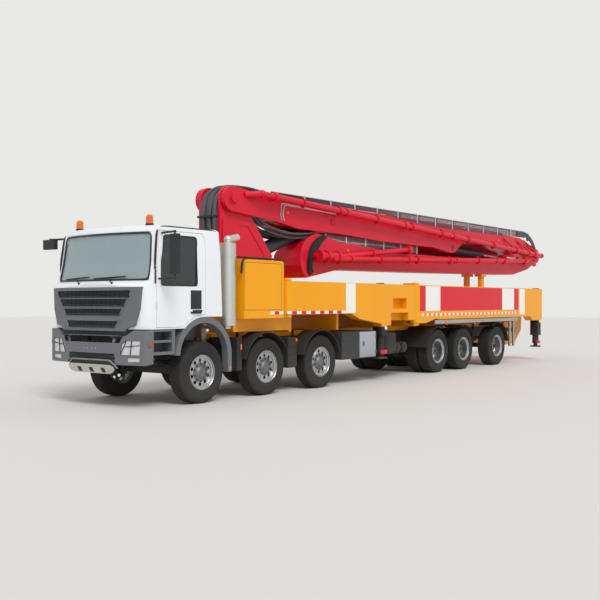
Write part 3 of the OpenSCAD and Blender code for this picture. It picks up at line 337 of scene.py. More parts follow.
def tintedGlass(name, colour, clear):
    # float glass with a grey-green body tint, only partly clear
    material, shader, place = startFinish(name, {"Base Color": linear(colour), "Transmission Weight": clear,
        "Roughness": 0.03, "IOR": 1.5})
    surfaceBump(material, shader, place, 900, 0.0004)
    return material


def mouldedLens(name, colour, clear):
    # polycarbonate lamp lens with fine inner flutes
    material, shader, place = startFinish(name, {"Base Color": linear(colour), "Transmission Weight": clear,
        "Roughness": 0.12, "IOR": 1.58, "Coat Weight": 0.6})
    flute = addNode(material, "TexWave", {"bands_direction": "X"}, {"Scale": perMetre(60)}, {"Vector": place})
    bump = addNode(material, "Bump", values={"Strength": 0.4, "Distance": 0.001},
        feeds={"Height": flute.outputs["Fac"]})
    feed(material, bump.outputs[0], shader.inputs["Normal"])
    return material


cleanSheet = {"toneSize": 900, "dustTop": 1.6, "dust": 0.35, "roughness": 0.38, "coat": 0.12, "edge": 0.006,
    "gloss": 0.25}


def dressed(make, name, colour, shade, **look):
    return make(name, {**cleanSheet, "colour": colour, "shade": shade, **look})


cabEnamel = dressed(sprayedEnamel, "cabEnamel", "#eff1f3", "#e3e6ea")
boomEnamel = dressed(sprayedEnamel, "boomEnamel", "#dd1533", "#cd0f2c")
deckEnamel = dressed(sprayedEnamel, "deckEnamel", "#f6a706", "#ee9c02")
frameEnamel = dressed(sprayedEnamel, "frameEnamel", "#131417", "#0e0f12", coat=0.05, roughness=0.5)
cylinderEnamel = dressed(sprayedEnamel, "cylinderEnamel", "#383d44", "#2f343b")
boxEnamel = dressed(sprayedEnamel, "boxEnamel", "#a9afb6", "#9ba1a8", coat=0.1)
bumperPlastic = dressed(mouldedPolypropylene, "bumperPlastic", "#6c7076", "#63676d", roughness=0.5)
guardPlastic = dressed(mouldedPolypropylene, "guardPlastic", "#17181b", "#1f2124", roughness=0.55)
trimPlastic = dressed(mouldedPolypropylene, "trimPlastic", "#2a2c2f", "#232528", roughness=0.5)
seatCloth = dressed(mouldedPolypropylene, "seatCloth", "#3c3f44", "#33363a", roughness=0.8)
tyreRubber = dressed(agedRubber, "tyreRubber", "#272626", "#1f1f1f", roughness=0.85, dust=0.2, dustTop=1.2)
# dark rubber, its grey a little lighter than black rubber as painted sheen
hoseRubber = dressed(agedRubber, "hoseRubber", "#37383b", "#27282a", roughness=0.3)
# black hose rubber given a mid grey: the grey is painted sheen standing in for the highlights on the hoses
weatheredHose = dressed(agedRubber, "weatheredHose", "#626064", "#4a494c", roughness=0.42)
rimSteel = dressed(bareMetal, "rimSteel", "#cfd1d2", "#b4b7b9", roughness=0.32)
hubIron = dressed(bareMetal, "hubIron", "#8f9193", "#77797b", roughness=0.5)
stackSteel = dressed(bareMetal, "stackSteel", "#e0e1d9", "#cfd0c7", roughness=0.42)
railAluminium = dressed(bareMetal, "railAluminium", "#c4c6c7", "#b0b3b4", roughness=0.45)
rodChrome = dressed(bareMetal, "rodChrome", "#d9dadb", "#cfd0d2", roughness=0.1)
plateSteel = dressed(bareMetal, "plateSteel", "#dcdad4", "#c4c0b8", roughness=0.25)
cabGlass = tintedGlass("cabGlass", "#c9dde0", 0.6)
doorGlass = tintedGlass("doorGlass", "#606d6a", 0.75)
# the clear lens is made half white so that it looks bright: painted reflection
lampLens = mouldedLens("lampLens", "#ffffff", 0.5)
amberLens = mouldedLens("amberLens", "#ff7a18", 0.25)
redLens = mouldedLens("redLens", "#c0141a", 0.25)
cornerLens = mouldedLens("cornerLens", "#b8452c", 0.2)

cadFinishes = ((cabEnamel, ("cab_shell", "door_left", "door_right")), (bumperPlastic, ("front_fascia",)),
    (guardPlastic, ("mudguards",)), (cabGlass, ("cab_glass",)),
    (doorGlass, ("door_glass_left", "door_glass_right")), (trimPlastic, ("mirror_left", "mirror_right")),
    (seatCloth, ("cab_interior",)), (frameEnamel, ("chassis_frame", "axles", "knuckle_", "jack_")),
    (stackSteel, ("exhaust",)), (hubIron, ("engine",)), (boxEnamel, ("side_boxes",)),
    (railAluminium, ("side_rails",)), (deckEnamel, ("deck", "pedestal", "hopper", "boom_rest", "outrigger_")),
    (cylinderEnamel, ("lift_barrel", "fold_barrel")), (rodChrome, ("lift_rod", "fold_rod")),
    (boomEnamel, ("turret", "arm_")))
for finish, starts in cadFinishes:
    for name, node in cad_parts.items():
        if name.startswith(starts):
            node.data.materials.clear()
            node.data.materials.append(finish)
print("finishes done")


# Wheels

bothSides = (("left", 1), ("right", -1))
tyreShape = {"radius": 0.535, "bead": 0.298, "tread": 0.014, "rows": 5, "blocks": 56, "groove": 0.009,
    "shoulder": 0.034, "slant": 14, "twinGap": 0.035}
rimShape = {"holes": 10, "holeRadius": 0.033, "holeCircle": 0.205, "hub": 0.135, "nutCircle": 0.165,
    "nuts": 10, "lip": 0.298, "sides": 12}


def addTyre(bm, inner, width):
    r, bead, tread = tyreShape["radius"], tyreShape["bead"], tyreShape["tread"]
    side = [(bead, 0.024), (bead + 0.012, 0.010), (bead + 0.03, 0.006), (bead + 0.036, 0.001),
        (bead + 0.075, 0.0), (bead + 0.08, 0.004), (r - 0.115, 0.0), (r - 0.09, 0.003), (r - 0.055, 0.011),
        (r - 0.025, 0.024), (r - tread, 0.04)]
    profile = [(a, inner + b) for a, b in side] + [(a, inner + width - b) for a, b in reversed(side)]
    addTurned(bm, profile + [profile[0]], 72)
    rows, blocks, groove = tyreShape["rows"], tyreShape["blocks"], tyreShape["groove"]
    start, span = inner + tyreShape["shoulder"], width - 2 * tyreShape["shoulder"]
    for row in range(rows):
        edge = row in (0, rows - 1)
        x = start + span * (row + 0.5) / rows
        height = tread * 1.6 if edge else tread
        slant = math.radians(tyreShape["slant"]) * (1 if row % 2 else -1)
        turn = Matrix() if edge else Matrix.Rotation(slant, 4, "Z")
        size = Matrix.Diagonal((span / rows - groove, 2 * math.pi * r / blocks - groove, height, 1))
        out = Matrix.Translation((x, 0, r - height / 2 - 0.002 - 0.004 * edge))
        for block in range(blocks):
            angle = 2 * math.pi * (block + 0.5 * (row % 2)) / blocks
            bmesh.ops.create_cube(bm, size=1, matrix=Matrix.Rotation(angle, 4, "X") @ out @ turn @ size)


def addRim(bm, inner, width, disc):
    # barrel with rolled lips, then a disc pierced by hand holes between hub and barrel
    lip, hub, sides = rimShape["lip"], rimShape["hub"], rimShape["sides"]
    barrel = [(lip, 0.022), (lip + 0.004, 0.012), (lip - 0.004, 0.008), (lip - 0.012, 0.016),
        (lip - 0.016, 0.034), (lip - 0.046, 0.046)]
    out = [(a, inner + b) for a, b in barrel] + [(a, inner + width - b) for a, b in reversed(barrel)]
    thick = [(lip - 0.04, inner + width - 0.046), (lip - 0.04, inner + 0.046)]
    addTurned(bm, out + thick + out[:1], 60)
    holes, circle, outer = rimShape["holes"], rimShape["holeCircle"], lip - 0.045
    half = math.pi / holes
    for hole in range(holes):
        turn = Matrix.Rotation(2 * math.pi * hole / holes, 4, "X")
        verts = []
        for k in range(sides):
            a = 2 * math.pi * (k + 0.5) / sides
            u, v = math.cos(a), math.sin(a)
            stretch = 1 / max(abs(u), abs(v))
            radius = circle + (outer - circle if v > 0 else circle - hub - 0.03) * v * stretch
            across = half * u * stretch
            point = (inner + disc, math.sin(across) * radius, math.cos(across) * radius)
            verts.append(bm.verts.new(turn @ Vector(point)))
        edges = [bm.edges.new((verts[k], verts[k - 1])) for k in range(sides)]
        face = Matrix.Rotation(math.pi / 2, 4, "Y")
        place = turn @ Matrix.Translation((inner + disc - 0.006, 0, circle)) @ face
        ring = bmesh.ops.create_circle(bm, cap_ends=False, segments=sides, radius=rimShape["holeRadius"],
            matrix=place @ Matrix.Rotation(math.pi / sides, 4, "Z"))["verts"]
        bmesh.ops.bridge_loops(bm, edges=edges + list({e for v in ring for e in v.link_edges}))


def addHub(bm, face, reach):
    hub, end = rimShape["hub"], face + reach
    addTurned(bm, [(0.0, end), (hub * 0.55, end), (hub * 0.72, end - 0.014), (hub * 0.8, face + 0.02),
        (hub + 0.033, face + 0.004), (hub + 0.033, face - 0.02), (0.0, face - 0.02)], 40)
    for nut in range(rimShape["nuts"]):
        angle = 2 * math.pi * nut / rimShape["nuts"]
        y, z = math.sin(angle) * rimShape["nutCircle"] * 0.9, math.cos(angle) * rimShape["nutCircle"] * 0.9
        addRod(bm, (face, y, z), (face + 0.03, y, z), 0.017, 6)
        addRod(bm, (face + 0.03, y, z), (face + 0.046, y, z), 0.011, 10)


# tyre width, disc from the tyre's inner face, hub reach, twin tyres
single, twins, wide = (0.315, 0.25, 0.045, False), (0.315, 0.06, 0.15, True), (0.385, 0.19, 0.09, False)
for axle, (width, disc, reach, twin) in enumerate((single, single, single, twins, twins, wide), 1):
    for sideName, side in bothSides:
        node = f"wheel_{axle}_{sideName}"
        centre = middle(node)
        inner = max(abs(corner.x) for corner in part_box(node)) - width
        tyre, rim, hub = bmesh.new(), bmesh.new(), bmesh.new()
        addTyre(tyre, inner, width)
        addRim(rim, inner, width, disc)
        addHub(hub, inner + disc, reach)
        if twin:
            second = inner - tyreShape["twinGap"] - width
            addTyre(tyre, second, width)
            addRim(rim, second, width, width - 0.06)
        for bm in (tyre, rim, hub):
            bmesh.ops.scale(bm, vec=(side, 1, 1), verts=bm.verts)
            bmesh.ops.translate(bm, vec=(0, centre.y, centre.z), verts=bm.verts)
        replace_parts(piece(f"tyre_{axle}_{sideName}", tyre, tyreRubber, node), node)
        piece(f"rim_{axle}_{sideName}", rim, rimSteel, node, 30)
        piece(f"hub_{axle}_{sideName}", hub, hubIron, node, 30)
print("wheels done")


# Cab front

silverPaint = dressed(sprayedEnamel, "silverPaint", "#b9bcc0", "#acb0b4")
grilleGrey = dressed(mouldedPolypropylene, "grilleGrey", "#85898e", "#7b7f84", roughness=0.42)
signalWhite = dressed(sprayedEnamel, "signalWhite", "#f3f1ec", "#e9e7e1", dust=0.15)
signalRed = dressed(sprayedEnamel, "signalRed", "#e0182c", "#d31427", dust=0.15)
signalAmber = dressed(sprayedEnamel, "signalAmber", "#ff7d1a", "#f4700c", dust=0.1)
boxGrey = dressed(sprayedEnamel, "boxGrey", "#292b30", "#222429")
# glossy white for the chrome lamp reflectors: the white is a painted reflection
lampWhite = dressed(sprayedEnamel, "lampWhite", "#ffffff", "#f4f6f8", dust=0.0, roughness=0.15, coat=1.0,
    gloss=0.8)

cabFront = {"face": -1.385, "bow": 4.0, "turns": (0, 5, 10, 15), "lean": ((1.65, 0.0), (2.06, 0.025),
    (2.4, 0.1), (2.91, 0.162), (2.97, 0.185), (3.0, 0.26))}
bumperPlan = ((0.0, -1.45), (0.56, -1.42), (0.75, -1.395), (1.175, -1.325), (1.23, -1.27), (1.25, -1.195))
grillePlan = ((0.0, -1.42), (0.6, -1.402), (1.083, -1.345), (1.15, -1.32))


def valueAt(table, place):
    for (start, low), (end, high) in zip(table, table[1:]):
        if place <= end:
            return low + (high - low) * max(0.0, (place - start) / (end - start))
    return table[-1][1]


def cabSurface(x, z, out):
    reach = cabFront["bow"] - valueAt(cabFront["lean"], z)
    depths = [cabFront["face"] + cabFront["bow"] - (reach - abs(x) * math.sin(turn)) / math.cos(turn)
        for turn in map(math.radians, cabFront["turns"])]
    return spot(x, max(depths) - out, z)


def bumperSurface(x, z, out):
    return spot(x, valueAt(bumperPlan, abs(x)) - out, z)


def grilleSurface(x, z, out):
    return spot(x, valueAt(grillePlan, abs(x)) - out, z)


screen = {"foot": 2.105, "top": 2.875, "footHalf": 1.14, "topHalf": 1.083, "seal": 0.017, "sink": -0.002}
seal = bmesh.new()
edge = trapeze(screen["footHalf"], screen["topHalf"], screen["foot"], screen["top"])
addPipe(seal, tracedPath(seamed(edge), cabSurface, screen["sink"], 0.09), screen["seal"], 8)
piece("windscreen_seal", seal, hoseRubber, "root")

gutter = {"radius": 0.018, "line": ((1.214, -1.112, 2.04), (1.214, -1.112, 2.45), (1.188, -1.055, 2.86),
    (1.172, -1.0, 2.955), (1.158, -0.84, 2.982), (1.158, 0.2, 2.982), (1.165, 0.335, 2.965))}
line = bmesh.new()
addPipe(line, placedPath(gutter["line"], 0.09), gutter["radius"], 8)
mirrorX(line)
piece("roof_gutter", line, hoseRubber, "root")

sideWindow = {"edge": ((-0.985, 2.012), (-0.158, 2.012), (-0.16, 2.84), (-0.9, 2.84), (-0.985, 2.42)),
    "x": 1.214, "radius": 0.012, "lean": 0.055, "leanFoot": 2.5}
# pads of a door handle: x, half width, front, rear, foot, top, edge
handleTable = ((1.222, 0.005, -0.32, -0.067, 1.545, 1.94, 0.004),
    (1.262, 0.009, -0.30, -0.095, 1.565, 1.61, 0.006), (1.244, 0.02, -0.30, -0.27, 1.572, 1.603),
    (1.244, 0.02, -0.125, -0.095, 1.572, 1.603))
for sideName, side in bothSides:
    door = f"door_{sideName}"
    path = [spot(side * (sideWindow["x"] - sideWindow["lean"] * max(0.0, z - sideWindow["leanFoot"])), y, z)
        for y, z in seamed(sideWindow["edge"])]
    rim = bmesh.new()
    addPipe(rim, roundedPath(path, 0.07), sideWindow["radius"], 8)
    piece(f"window_seal_{sideName}", rim, hoseRubber, door)
    grip = bmesh.new()
    for row in handleTable:
        addPad(grip, side, *row)
    piece(f"door_handle_{sideName}", grip, trimPlastic, door)

# glass of each mirror, in its pocket on the driver's side: inner and outer x, foot, top
mirrorGlass = dressed(bareMetal, "mirrorGlass", "#c4ccd0", "#bcc4c8", roughness=0.05)
mirrorPocket = {"left": (1.536, 1.664, 2.206, 2.814), "right": (-1.754, -1.466, 2.706, 2.849),
    "y": (-1.0145, -1.0105)}
for sideName in ("left", "right"):
    inner, outer, low, high = mirrorPocket[sideName]
    pane = bmesh.new()
    addBlock(pane, spot(inner, mirrorPocket["y"][0], low), spot(outer, mirrorPocket["y"][1], high), 0.001)
    piece(f"mirror_glass_{sideName}", pane, mirrorGlass, f"door_{sideName}")

wiper = {"blade": 0.011, "arm": 0.008, "x": 0.42}
sweep = bmesh.new()
for x in (-wiper["x"], wiper["x"]):
    foot, knee = cabSurface(x - 0.42, 2.13, 0.016), cabSurface(x + 0.28, 2.16, 0.016)
    addPipe(sweep, [foot.lerp(knee, k / 6) for k in range(7)], wiper["blade"], 6)
    addRod(sweep, cabSurface(x + 0.02, 2.05, 0.012), cabSurface(x - 0.07, 2.145, 0.03), wiper["arm"], 6)
    addRod(sweep, cabSurface(x + 0.02, 2.05, -0.02), cabSurface(x + 0.02, 2.05, 0.02), 0.02, 12)
piece("wipers", sweep, trimPlastic, "root")

# five slots of the grille panel as half widths below and above, then heights
grilleSlots = ((0.90, 0.93, 1.845, 1.93), (0.80, 0.86, 1.70, 1.79), (0.70, 0.76, 1.552, 1.63),
    (0.61, 0.69, 1.352, 1.43), (0.76, 0.80, 1.20, 1.268))
grille = {"floor": -1.39, "bars": 3, "bar": 0.008, "posts": 0.11}
mesh = bmesh.new()
for low, high, foot, top in grilleSlots:
    addPlate(mesh, trapeze(low, high, foot, top), frontPlane(grille["floor"]), 0.004)
    for bar in range(grille["bars"]):
        z = foot + (top - foot) * (bar + 0.5) / grille["bars"]
        half = low + (high - low) * (bar + 0.5) / grille["bars"] - 0.005
        addBlock(mesh, spot(-half, grille["floor"] - 0.012, z - grille["bar"] / 2),
            spot(half, grille["floor"] - 0.001, z + grille["bar"] / 2))
    for post in range(-6, 7):
        x = post * grille["posts"]
        if abs(x) < low - 0.01:
            addBlock(mesh, spot(x - 0.005, grille["floor"] - 0.009, foot),
                spot(x + 0.005, grille["floor"], top))
piece("grille_mesh", mesh, guardPlastic, "root")

# black skin laid on the bumper's surface as painted shade of the gap above the bumper, and plates in its
# recesses: half widths below and above, heights, y
bumperGap = {"half": 0.76, "z": (1.10, 1.188), "taper": 0.9, "bars": (0.83, 0.87),
    "plates": ((0.59, 0.5, 0.67, 0.80, -1.41), (0.565, 0.545, 0.805, 0.895, -1.392))}


def gapShadeSurface(x, z, out):
    return bumperSurface(x * (1 - bumperGap["taper"] * (bumperGap["z"][1] - z)), z, 0.0006)


gap = bmesh.new()
# the skin is painted shade of the gap, not a part
addSkin(gap, (-bumperGap["half"], bumperGap["half"]), bumperGap["z"], (16, 4), gapShadeSurface, 0.004)
for low, high, foot, top, y in bumperGap["plates"]:
    addPlate(gap, trapeze(low, high, foot, top), frontPlane(y), 0.004)
for z in bumperGap["bars"]:
    addBlock(gap, spot(-0.555, -1.412, z - 0.006), spot(0.555, -1.39, z + 0.006))
piece("bumper_slots_and_gap_shade", gap, guardPlastic, "root")

# pressed edges above and below the bumper's middle in a lighter grey; the strip above is a painted highlight
# along its edge
edges = bmesh.new()
addSkin(edges, (-0.7, 0.7), (1.082, 1.1), (16, 1), lambda x, z, out: bumperSurface(x, z, 0.0008), 0.004)
addPipe(edges, placedPath(((-0.62, -1.38, 0.66), (-0.49, -1.433, 0.79), (0.49, -1.433, 0.79),
    (0.62, -1.38, 0.66)), 0.05), 0.015, 8)
piece("bumper_edges_and_highlight", edges, grilleGrey, "root")

# ends of the grille's bars as (x, z), then long bars as half width and height
barEnds = (((0.76, 1.64), (0.70, 1.545)), ((0.69, 1.44), (0.61, 1.345)), ((0.93, 1.94), (0.90, 1.84)),
    ((0.86, 1.80), (0.80, 1.695)))
longBars = ((0.69, 1.541), (0.60, 1.341), (0.89, 1.836), (0.79, 1.691))
bars = bmesh.new()
for side in (-1, 1):
    for low, high in barEnds:
        addBar(bars, grilleSurface(side * low[0], low[1], 0.004),
            grilleSurface(side * high[0], high[1], 0.004), 0.022, 0.014)
for half, z in longBars:
    addSkin(bars, (-half, half), (z - 0.008, z + 0.008), (14, 1), grilleSurface, 0.012)
piece("grille_bars", bars, grilleGrey, "root")

# skid plate below the bumper: its right half as (x, z) from the upper edge, its slots as a slanted outline
skid = {"top": 0.715, "front": -1.436, "lean": 14, "slot": 0.3, "arm": 0.5,
    "half": ((0.5, 0.0), (0.575, -0.035), (0.585, -0.08), (0.53, -0.13), (0.44, -0.155)),
    "slots": ((-0.065, -0.055), (0.03, -0.055), (0.065, -0.135), (-0.03, -0.135))}
lean = Matrix.Rotation(math.radians(skid["lean"]), 4, "X")
skidPlane = Matrix.Translation(spot(0, skid["front"], skid["top"])) @ lean
plate, slots = bmesh.new(), bmesh.new()
addPlate(plate, [(-0.5, 0.0), *skid["half"], *((-x, z) for x, z in reversed(skid["half"][1:]))],
    skidPlane @ upright, 0.012)
for x in (-skid["arm"], skid["arm"]):
    addBar(plate, spot(x, skid["front"] + 0.03, skid["top"] - 0.05), spot(x, -1.30, 0.76), 0.05, 0.02)
piece("skid_plate", plate, plateSteel, "root")
# the slots are dark patches on the plate: painted shade of the openings
for x in (-skid["slot"], 0.0, skid["slot"]):
    addPlate(slots, [(x + across, up) for across, up in skid["slots"]],
        Matrix.Translation((0, -0.0015, 0)) @ skidPlane @ upright, 0.002)
piece("skid_slot_shade", slots, guardPlastic, "root")
boltHeads = bmesh.new()
for x in (-0.15, -0.06, 0.06, 0.15):
    addRod(boltHeads, bumperSurface(x, 0.977, 0.002), bumperSurface(x, 0.977, -0.01), 0.009, 12)
piece("bumper_bolts", boltHeads, silverPaint, "root")
print("cab front done")


# Lamps

# cups as x, z and radius, frames as their ends' (x, z)
headLamp = {"outline": ((0.705, 0.885), (1.09, 0.885), (1.11, 1.115), (0.825, 1.115), (0.74, 1.058)),
    "cups": ((0.99, 0.995, 0.085), (0.815, 0.97, 0.062), (0.90, 1.07, 0.03), (0.745, 0.91, 0.022)),
    "fog": ((0.855, 0.77), (1.095, 0.78), (1.095, 0.84), (0.855, 0.84)),
    "frames": (((0.905, 0.885), (0.935, 1.115)), ((0.80, 1.02), (1.10, 1.045)),
    ((0.705, 0.885), (0.825, 1.115)))}


def addLens(bm, outline, surface, out=0.0, thickness=0.006):
    # a flat outline pushed onto the bumper's curve
    face = bm.faces.new([bm.verts.new(surface(x, z, out)) for x, z in outline])
    made = bmesh.ops.extrude_face_region(bm, geom=[face])["geom"]
    bmesh.ops.translate(bm, vec=(0, thickness, 0), verts=vertsOf(made))


lens, bowl, frames = bmesh.new(), bmesh.new(), bmesh.new()
for outline, back in ((headLamp["outline"], -1.29), (headLamp["fog"], -1.32)):
    addLens(lens, outline, bumperSurface, -0.012)
    addLens(bowl, outline, lambda x, z, out: spot(x, back, z))
mirrorX(lens)
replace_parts(piece("lamp_lenses", lens, lampLens, "root"), "lamps")
for x, z, radius in headLamp["cups"]:
    front = bumperSurface(x, z, -0.03)
    addRod(bowl, spot(x, -1.292, z), front, radius * 0.35, 20, radius)
    addBall(bowl, front + Vector((0, 0.018, 0)), radius * 0.38)
for x in (0.93, 1.03):
    addRod(bowl, spot(x, -1.32, 0.81), bumperSurface(x, 0.81, -0.025), 0.012, 16, 0.028)
mirrorX(bowl)
piece("lamp_reflectors", bowl, lampWhite, "root", 30)
for (x, z), (nextX, nextZ) in headLamp["frames"]:
    addBar(frames, bumperSurface(x, z, -0.006), bumperSurface(nextX, nextZ, -0.006), 0.014, 0.010)
mirrorX(frames)
piece("lamp_frames", frames, boxGrey, "root")

# beacons on the roof: foot, dome and the ribs round it as heights and radii
beacon = {"x": 0.9, "y": -0.945, "foot": 3.0, "wide": 0.064}
domes, feet = bmesh.new(), bmesh.new()
for side in (-1, 1):
    low, wide = spot(side * beacon["x"], beacon["y"], beacon["foot"]), beacon["wide"]
    ribs = [0.055 + ring * 0.026 for ring in range(4)]
    rows = [(feet, 0.0, 0.035, wide + 0.004, wide + 0.004), (domes, 0.034, 0.155, wide - 0.002, wide - 0.008),
        (domes, 0.155, 0.181, wide - 0.008, 0.038),
        *((domes, z, z + 0.006, wide + 0.001, wide + 0.001) for z in ribs)]
    for bm, start, end, radius, endRadius in rows:
        addRod(bm, low + Vector((0, 0, start)), low + Vector((0, 0, end)), radius, 28, endRadius)
piece("beacon_domes", domes, amberLens, "root", 30)
piece("beacon_feet", feet, trimPlastic, "root", 30)

tail = bmesh.new()
tailBox = {"in": 0.70, "out": 1.08, "y": 13.08, "z": (0.88, 1.0)}
for cell in range(3):
    width = (tailBox["out"] - tailBox["in"]) / 3
    addBlock(tail, spot(tailBox["in"] + width * cell + 0.004, tailBox["y"], tailBox["z"][0]),
        spot(tailBox["in"] + width * (cell + 1) - 0.004, tailBox["y"] + 0.07, tailBox["z"][1]), 0.008)
mirrorX(tail)
piece("tail_lamps", tail, redLens, "root")

# small markers as centre, half size along the truck and half height
markers = (("bumper_marker", 1.243, -1.225, 1.05, 0.055, 0.034),
    ("leg_marker", 1.223, 0.645, 0.57, 0.022, 0.03),
    ("rail_marker_front", 1.247, 8.555, 1.256, 0.05, 0.016),
    ("rail_marker_rear", 1.247, 10.629, 1.256, 0.05, 0.016),
    ("frame_marker_front", 1.166, 1.0, 0.93, 0.016, 0.05),
    ("frame_marker_rear", 1.126, 2.66, 1.0, 0.022, 0.03))
for name, x, y, z, length, height in markers:
    mark = bmesh.new()
    addPad(mark, 1, x, 0.006, y - length, y + length, z - height, z + height, 0.003)
    mirrorX(mark)
    piece(name, mark, cornerLens if name == "bumper_marker" else amberLens, "root")
print("lamps done")


# Bands along the sides

bandFace = 1.2515
# per band: paint, what carries it, then fields as start, end, foot, top, count and the first one painted
bandTable = {"front_dash_white": (signalWhite, "outrigger_front", ((2.22, 4.16, 1.508, 1.567, 13, 0),)),
    "front_dash_red": (signalRed, "outrigger_front", ((2.22, 4.16, 1.508, 1.567, 13, 1),)),
    "box_dash_white": (signalWhite, "root", ((1.72, 2.1, 1.508, 1.567, 3, 0),)),
    "box_dash_red": (signalRed, "root", ((1.72, 2.1, 1.508, 1.567, 3, 1),)),
    "front_panel": (signalWhite, "outrigger_front", ((4.17, 4.53, 1.512, 2.14, 1, 0),)),
    "rear_dash_white": (signalWhite, "outrigger_rear", ((7.32, 12.82, 1.409, 1.475, 50, 0),)),
    "rear_dash_red": (signalAmber, "outrigger_rear", ((7.32, 12.82, 1.409, 1.475, 50, 1),)),
    "sign_red": (signalRed, "outrigger_rear", ((7.23, 7.5, 1.53, 2.13, 1, 0),
        (8.22, 11.76, 1.53, 2.13, 1, 0), (12.55, 12.84, 1.53, 2.13, 1, 0))),
    "sign_white": (signalWhite, "outrigger_rear", ((7.5, 8.22, 1.53, 2.13, 1, 0),
        (11.76, 12.55, 1.53, 2.13, 1, 0), (12.93, 13.3, 1.385, 2.13, 1, 0)))}
for sideName, side in bothSides:
    for name, (paint, carrier, rows) in bandTable.items():
        band = bmesh.new()
        for start, end, foot, top, count, first in rows:
            step = (end - start) / count
            for dash in range(first, count, 2):
                addPad(band, side, bandFace, 0.001, start + step * dash, start + step * (dash + 1), foot, top)
        body = carrier if carrier == "root" else f"{carrier}_{sideName}"
        piece(f"{name}_{sideName}", band, paint, body)
print("bands done")


# Boom guards, pipes' clamps and hoses

meshGuard = dressed(mouldedPolypropylene, "meshGuard", "#6d5058", "#5f454d", roughness=0.6)


def addMesh(bm, x, start, end, foot, top, across=0.042, wire=0.019, rows=7):
    # punched sheet, drawn coarse so that its holes show
    length = end - start
    for row in range(rows):
        u = (row + 0.5) / rows
        addBar(bm, spot(x, start, foot[0] + (top[0] - foot[0]) * u),
            spot(x, end, foot[1] + (top[1] - foot[1]) * u), 0.003, wire)
    for column in range(int(length / across)):
        u = (column + 0.5) * across / length
        y = start + length * u
        addBlock(bm, spot(x - 0.001, y - wire / 2, foot[0] + (foot[1] - foot[0]) * u),
            spot(x + 0.001, y + wire / 2, top[0] + (top[1] - top[0]) * u))


# the foot as (y, z); on the right the guard stands inside the arm's edge, clear of the third arm
guardShape = {"x": (0.392, -0.36), "top": 3.985, "posts": 14, "firstPost": 2.9, "postStep": 0.94,
    "post": 0.046, "foot": ((2.75, 3.905), (5.0, 3.88), (6.97, 3.862), (8.3, 3.776), (10.27, 3.731),
    (11.55, 3.755), (13.98, 3.765), (15.25, 3.79))}
topGuard, posts = bmesh.new(), bmesh.new()
foot, top = guardShape["foot"], guardShape["top"]
for x in guardShape["x"]:
    for (start, low), (end, high) in zip(foot, foot[1:]):
        addMesh(topGuard, x, start, end, (low, high), (top, top))
    for post in range(guardShape["posts"]):
        y = guardShape["firstPost"] + post * guardShape["postStep"]
        addBlock(posts, spot(x - 0.006, y, valueAt(foot, y) - 0.01),
            spot(x + 0.008, y + guardShape["post"], top + 0.004), 0.003)
    addBlock(posts, spot(x - 0.006, foot[0][0], top - 0.01), spot(x + 0.008, foot[-1][0], top + 0.005), 0.003)
piece("boom_guard_top", topGuard, meshGuard, "arm_1")
piece("boom_guard_posts", posts, silverPaint, "arm_1")

# start, end, feet and tops of each field
lowerGuard = {"x": 0.318, "posts": 6, "firstPost": 4.71, "postStep": 0.79,
    "fields": ((4.69, 7.26, (3.03, 3.03), (3.245, 3.219)), (7.26, 8.7, (3.03, 3.0), (3.219, 3.18)))}
lowGuard, lowPosts = bmesh.new(), bmesh.new()
for field in lowerGuard["fields"]:
    addMesh(lowGuard, lowerGuard["x"], *field)
for post in range(lowerGuard["posts"]):
    y = lowerGuard["firstPost"] + post * lowerGuard["postStep"]
    addBlock(lowPosts, spot(0.312, y - 0.02, 2.98), spot(0.33, y + 0.02, 3.245 - 0.014 * (y - 4.69)), 0.003)
piece("lower_guard", lowGuard, meshGuard, "arm_2")
piece("lower_guard_posts", lowPosts, silverPaint, "arm_2")

# pipe clamps: X of the pipe, two points on its line, places of the clamps
pipes = {"arm_1": (0.555, (2.3, 3.87), (16.2, 3.25), (3.6, 4.9, 6.4, 8.0, 9.5, 11.0, 12.6, 14.2, 15.6)),
    "arm_2": (0.526, (4.76, 2.69), (15.3, 3.06), (4.9, 6.6, 8.3, 10.0, 11.7, 13.4, 14.9))}
clampShape = {"pipe": 0.066, "band": 0.086, "width": 0.055, "bolt": 0.012}
for arm, (x, near, far, places) in pipes.items():
    clamps = bmesh.new()
    slope = (far[1] - near[1]) / (far[0] - near[0])
    for y in places:
        z = near[1] + (y - near[0]) * slope
        half = Vector((0, 1, slope)).normalized() * clampShape["width"] / 2
        centre = spot(x, y, z)
        addRod(clamps, centre - half, centre + half, clampShape["band"], 24)
        addRod(clamps, centre - half * 0.35, centre + half * 0.35, clampShape["band"] + 0.009, 24)
        for lift in (-1, 1):
            ear = centre + Vector((0, 0, lift * (clampShape["band"] + 0.012)))
            addBar(clamps, ear - half * 0.8, ear + half * 0.8, 0.024, 0.034)
            addRod(clamps, ear - Vector((0.03, 0, 0)), ear + Vector((0.03, 0, 0)), clampShape["bolt"], 6)
    piece(f"pipe_clamps_{arm}", clamps, boomEnamel, arm)

# bent plate at the second arm's nose as (y, z), and three hoses inside it
noseArch = {"x": 0.333, "hoses": 0.372, "outline": ((4.60, 3.215), (4.40, 3.145), (4.25, 3.05), (4.15, 2.95),
    (4.095, 2.85), (4.05, 2.72), (4.025, 2.585), (4.03, 2.42), (4.10, 2.32), (4.24, 2.40), (4.20, 2.48),
    (4.197, 2.59), (4.25, 2.72), (4.372, 2.873), (4.52, 3.03), (4.654, 3.134), (4.72, 3.19))}
arch = bmesh.new()
addPlate(arch, noseArch["outline"], sidePlane(noseArch["x"]), 0.03)
for lane in range(3):
    x = noseArch["hoses"]
    addPipe(arch, placedPath(((x, 4.62 - 0.03 * lane, 3.185), (x, 4.32 - 0.04 * lane, 3.02),
        (x, 4.16 - 0.035 * lane, 2.76), (x, 4.13 - 0.035 * lane, 2.45)), 0.3, 6), 0.016, 8)
piece("nose_arch", arch, guardPlastic, "arm_2", 30)

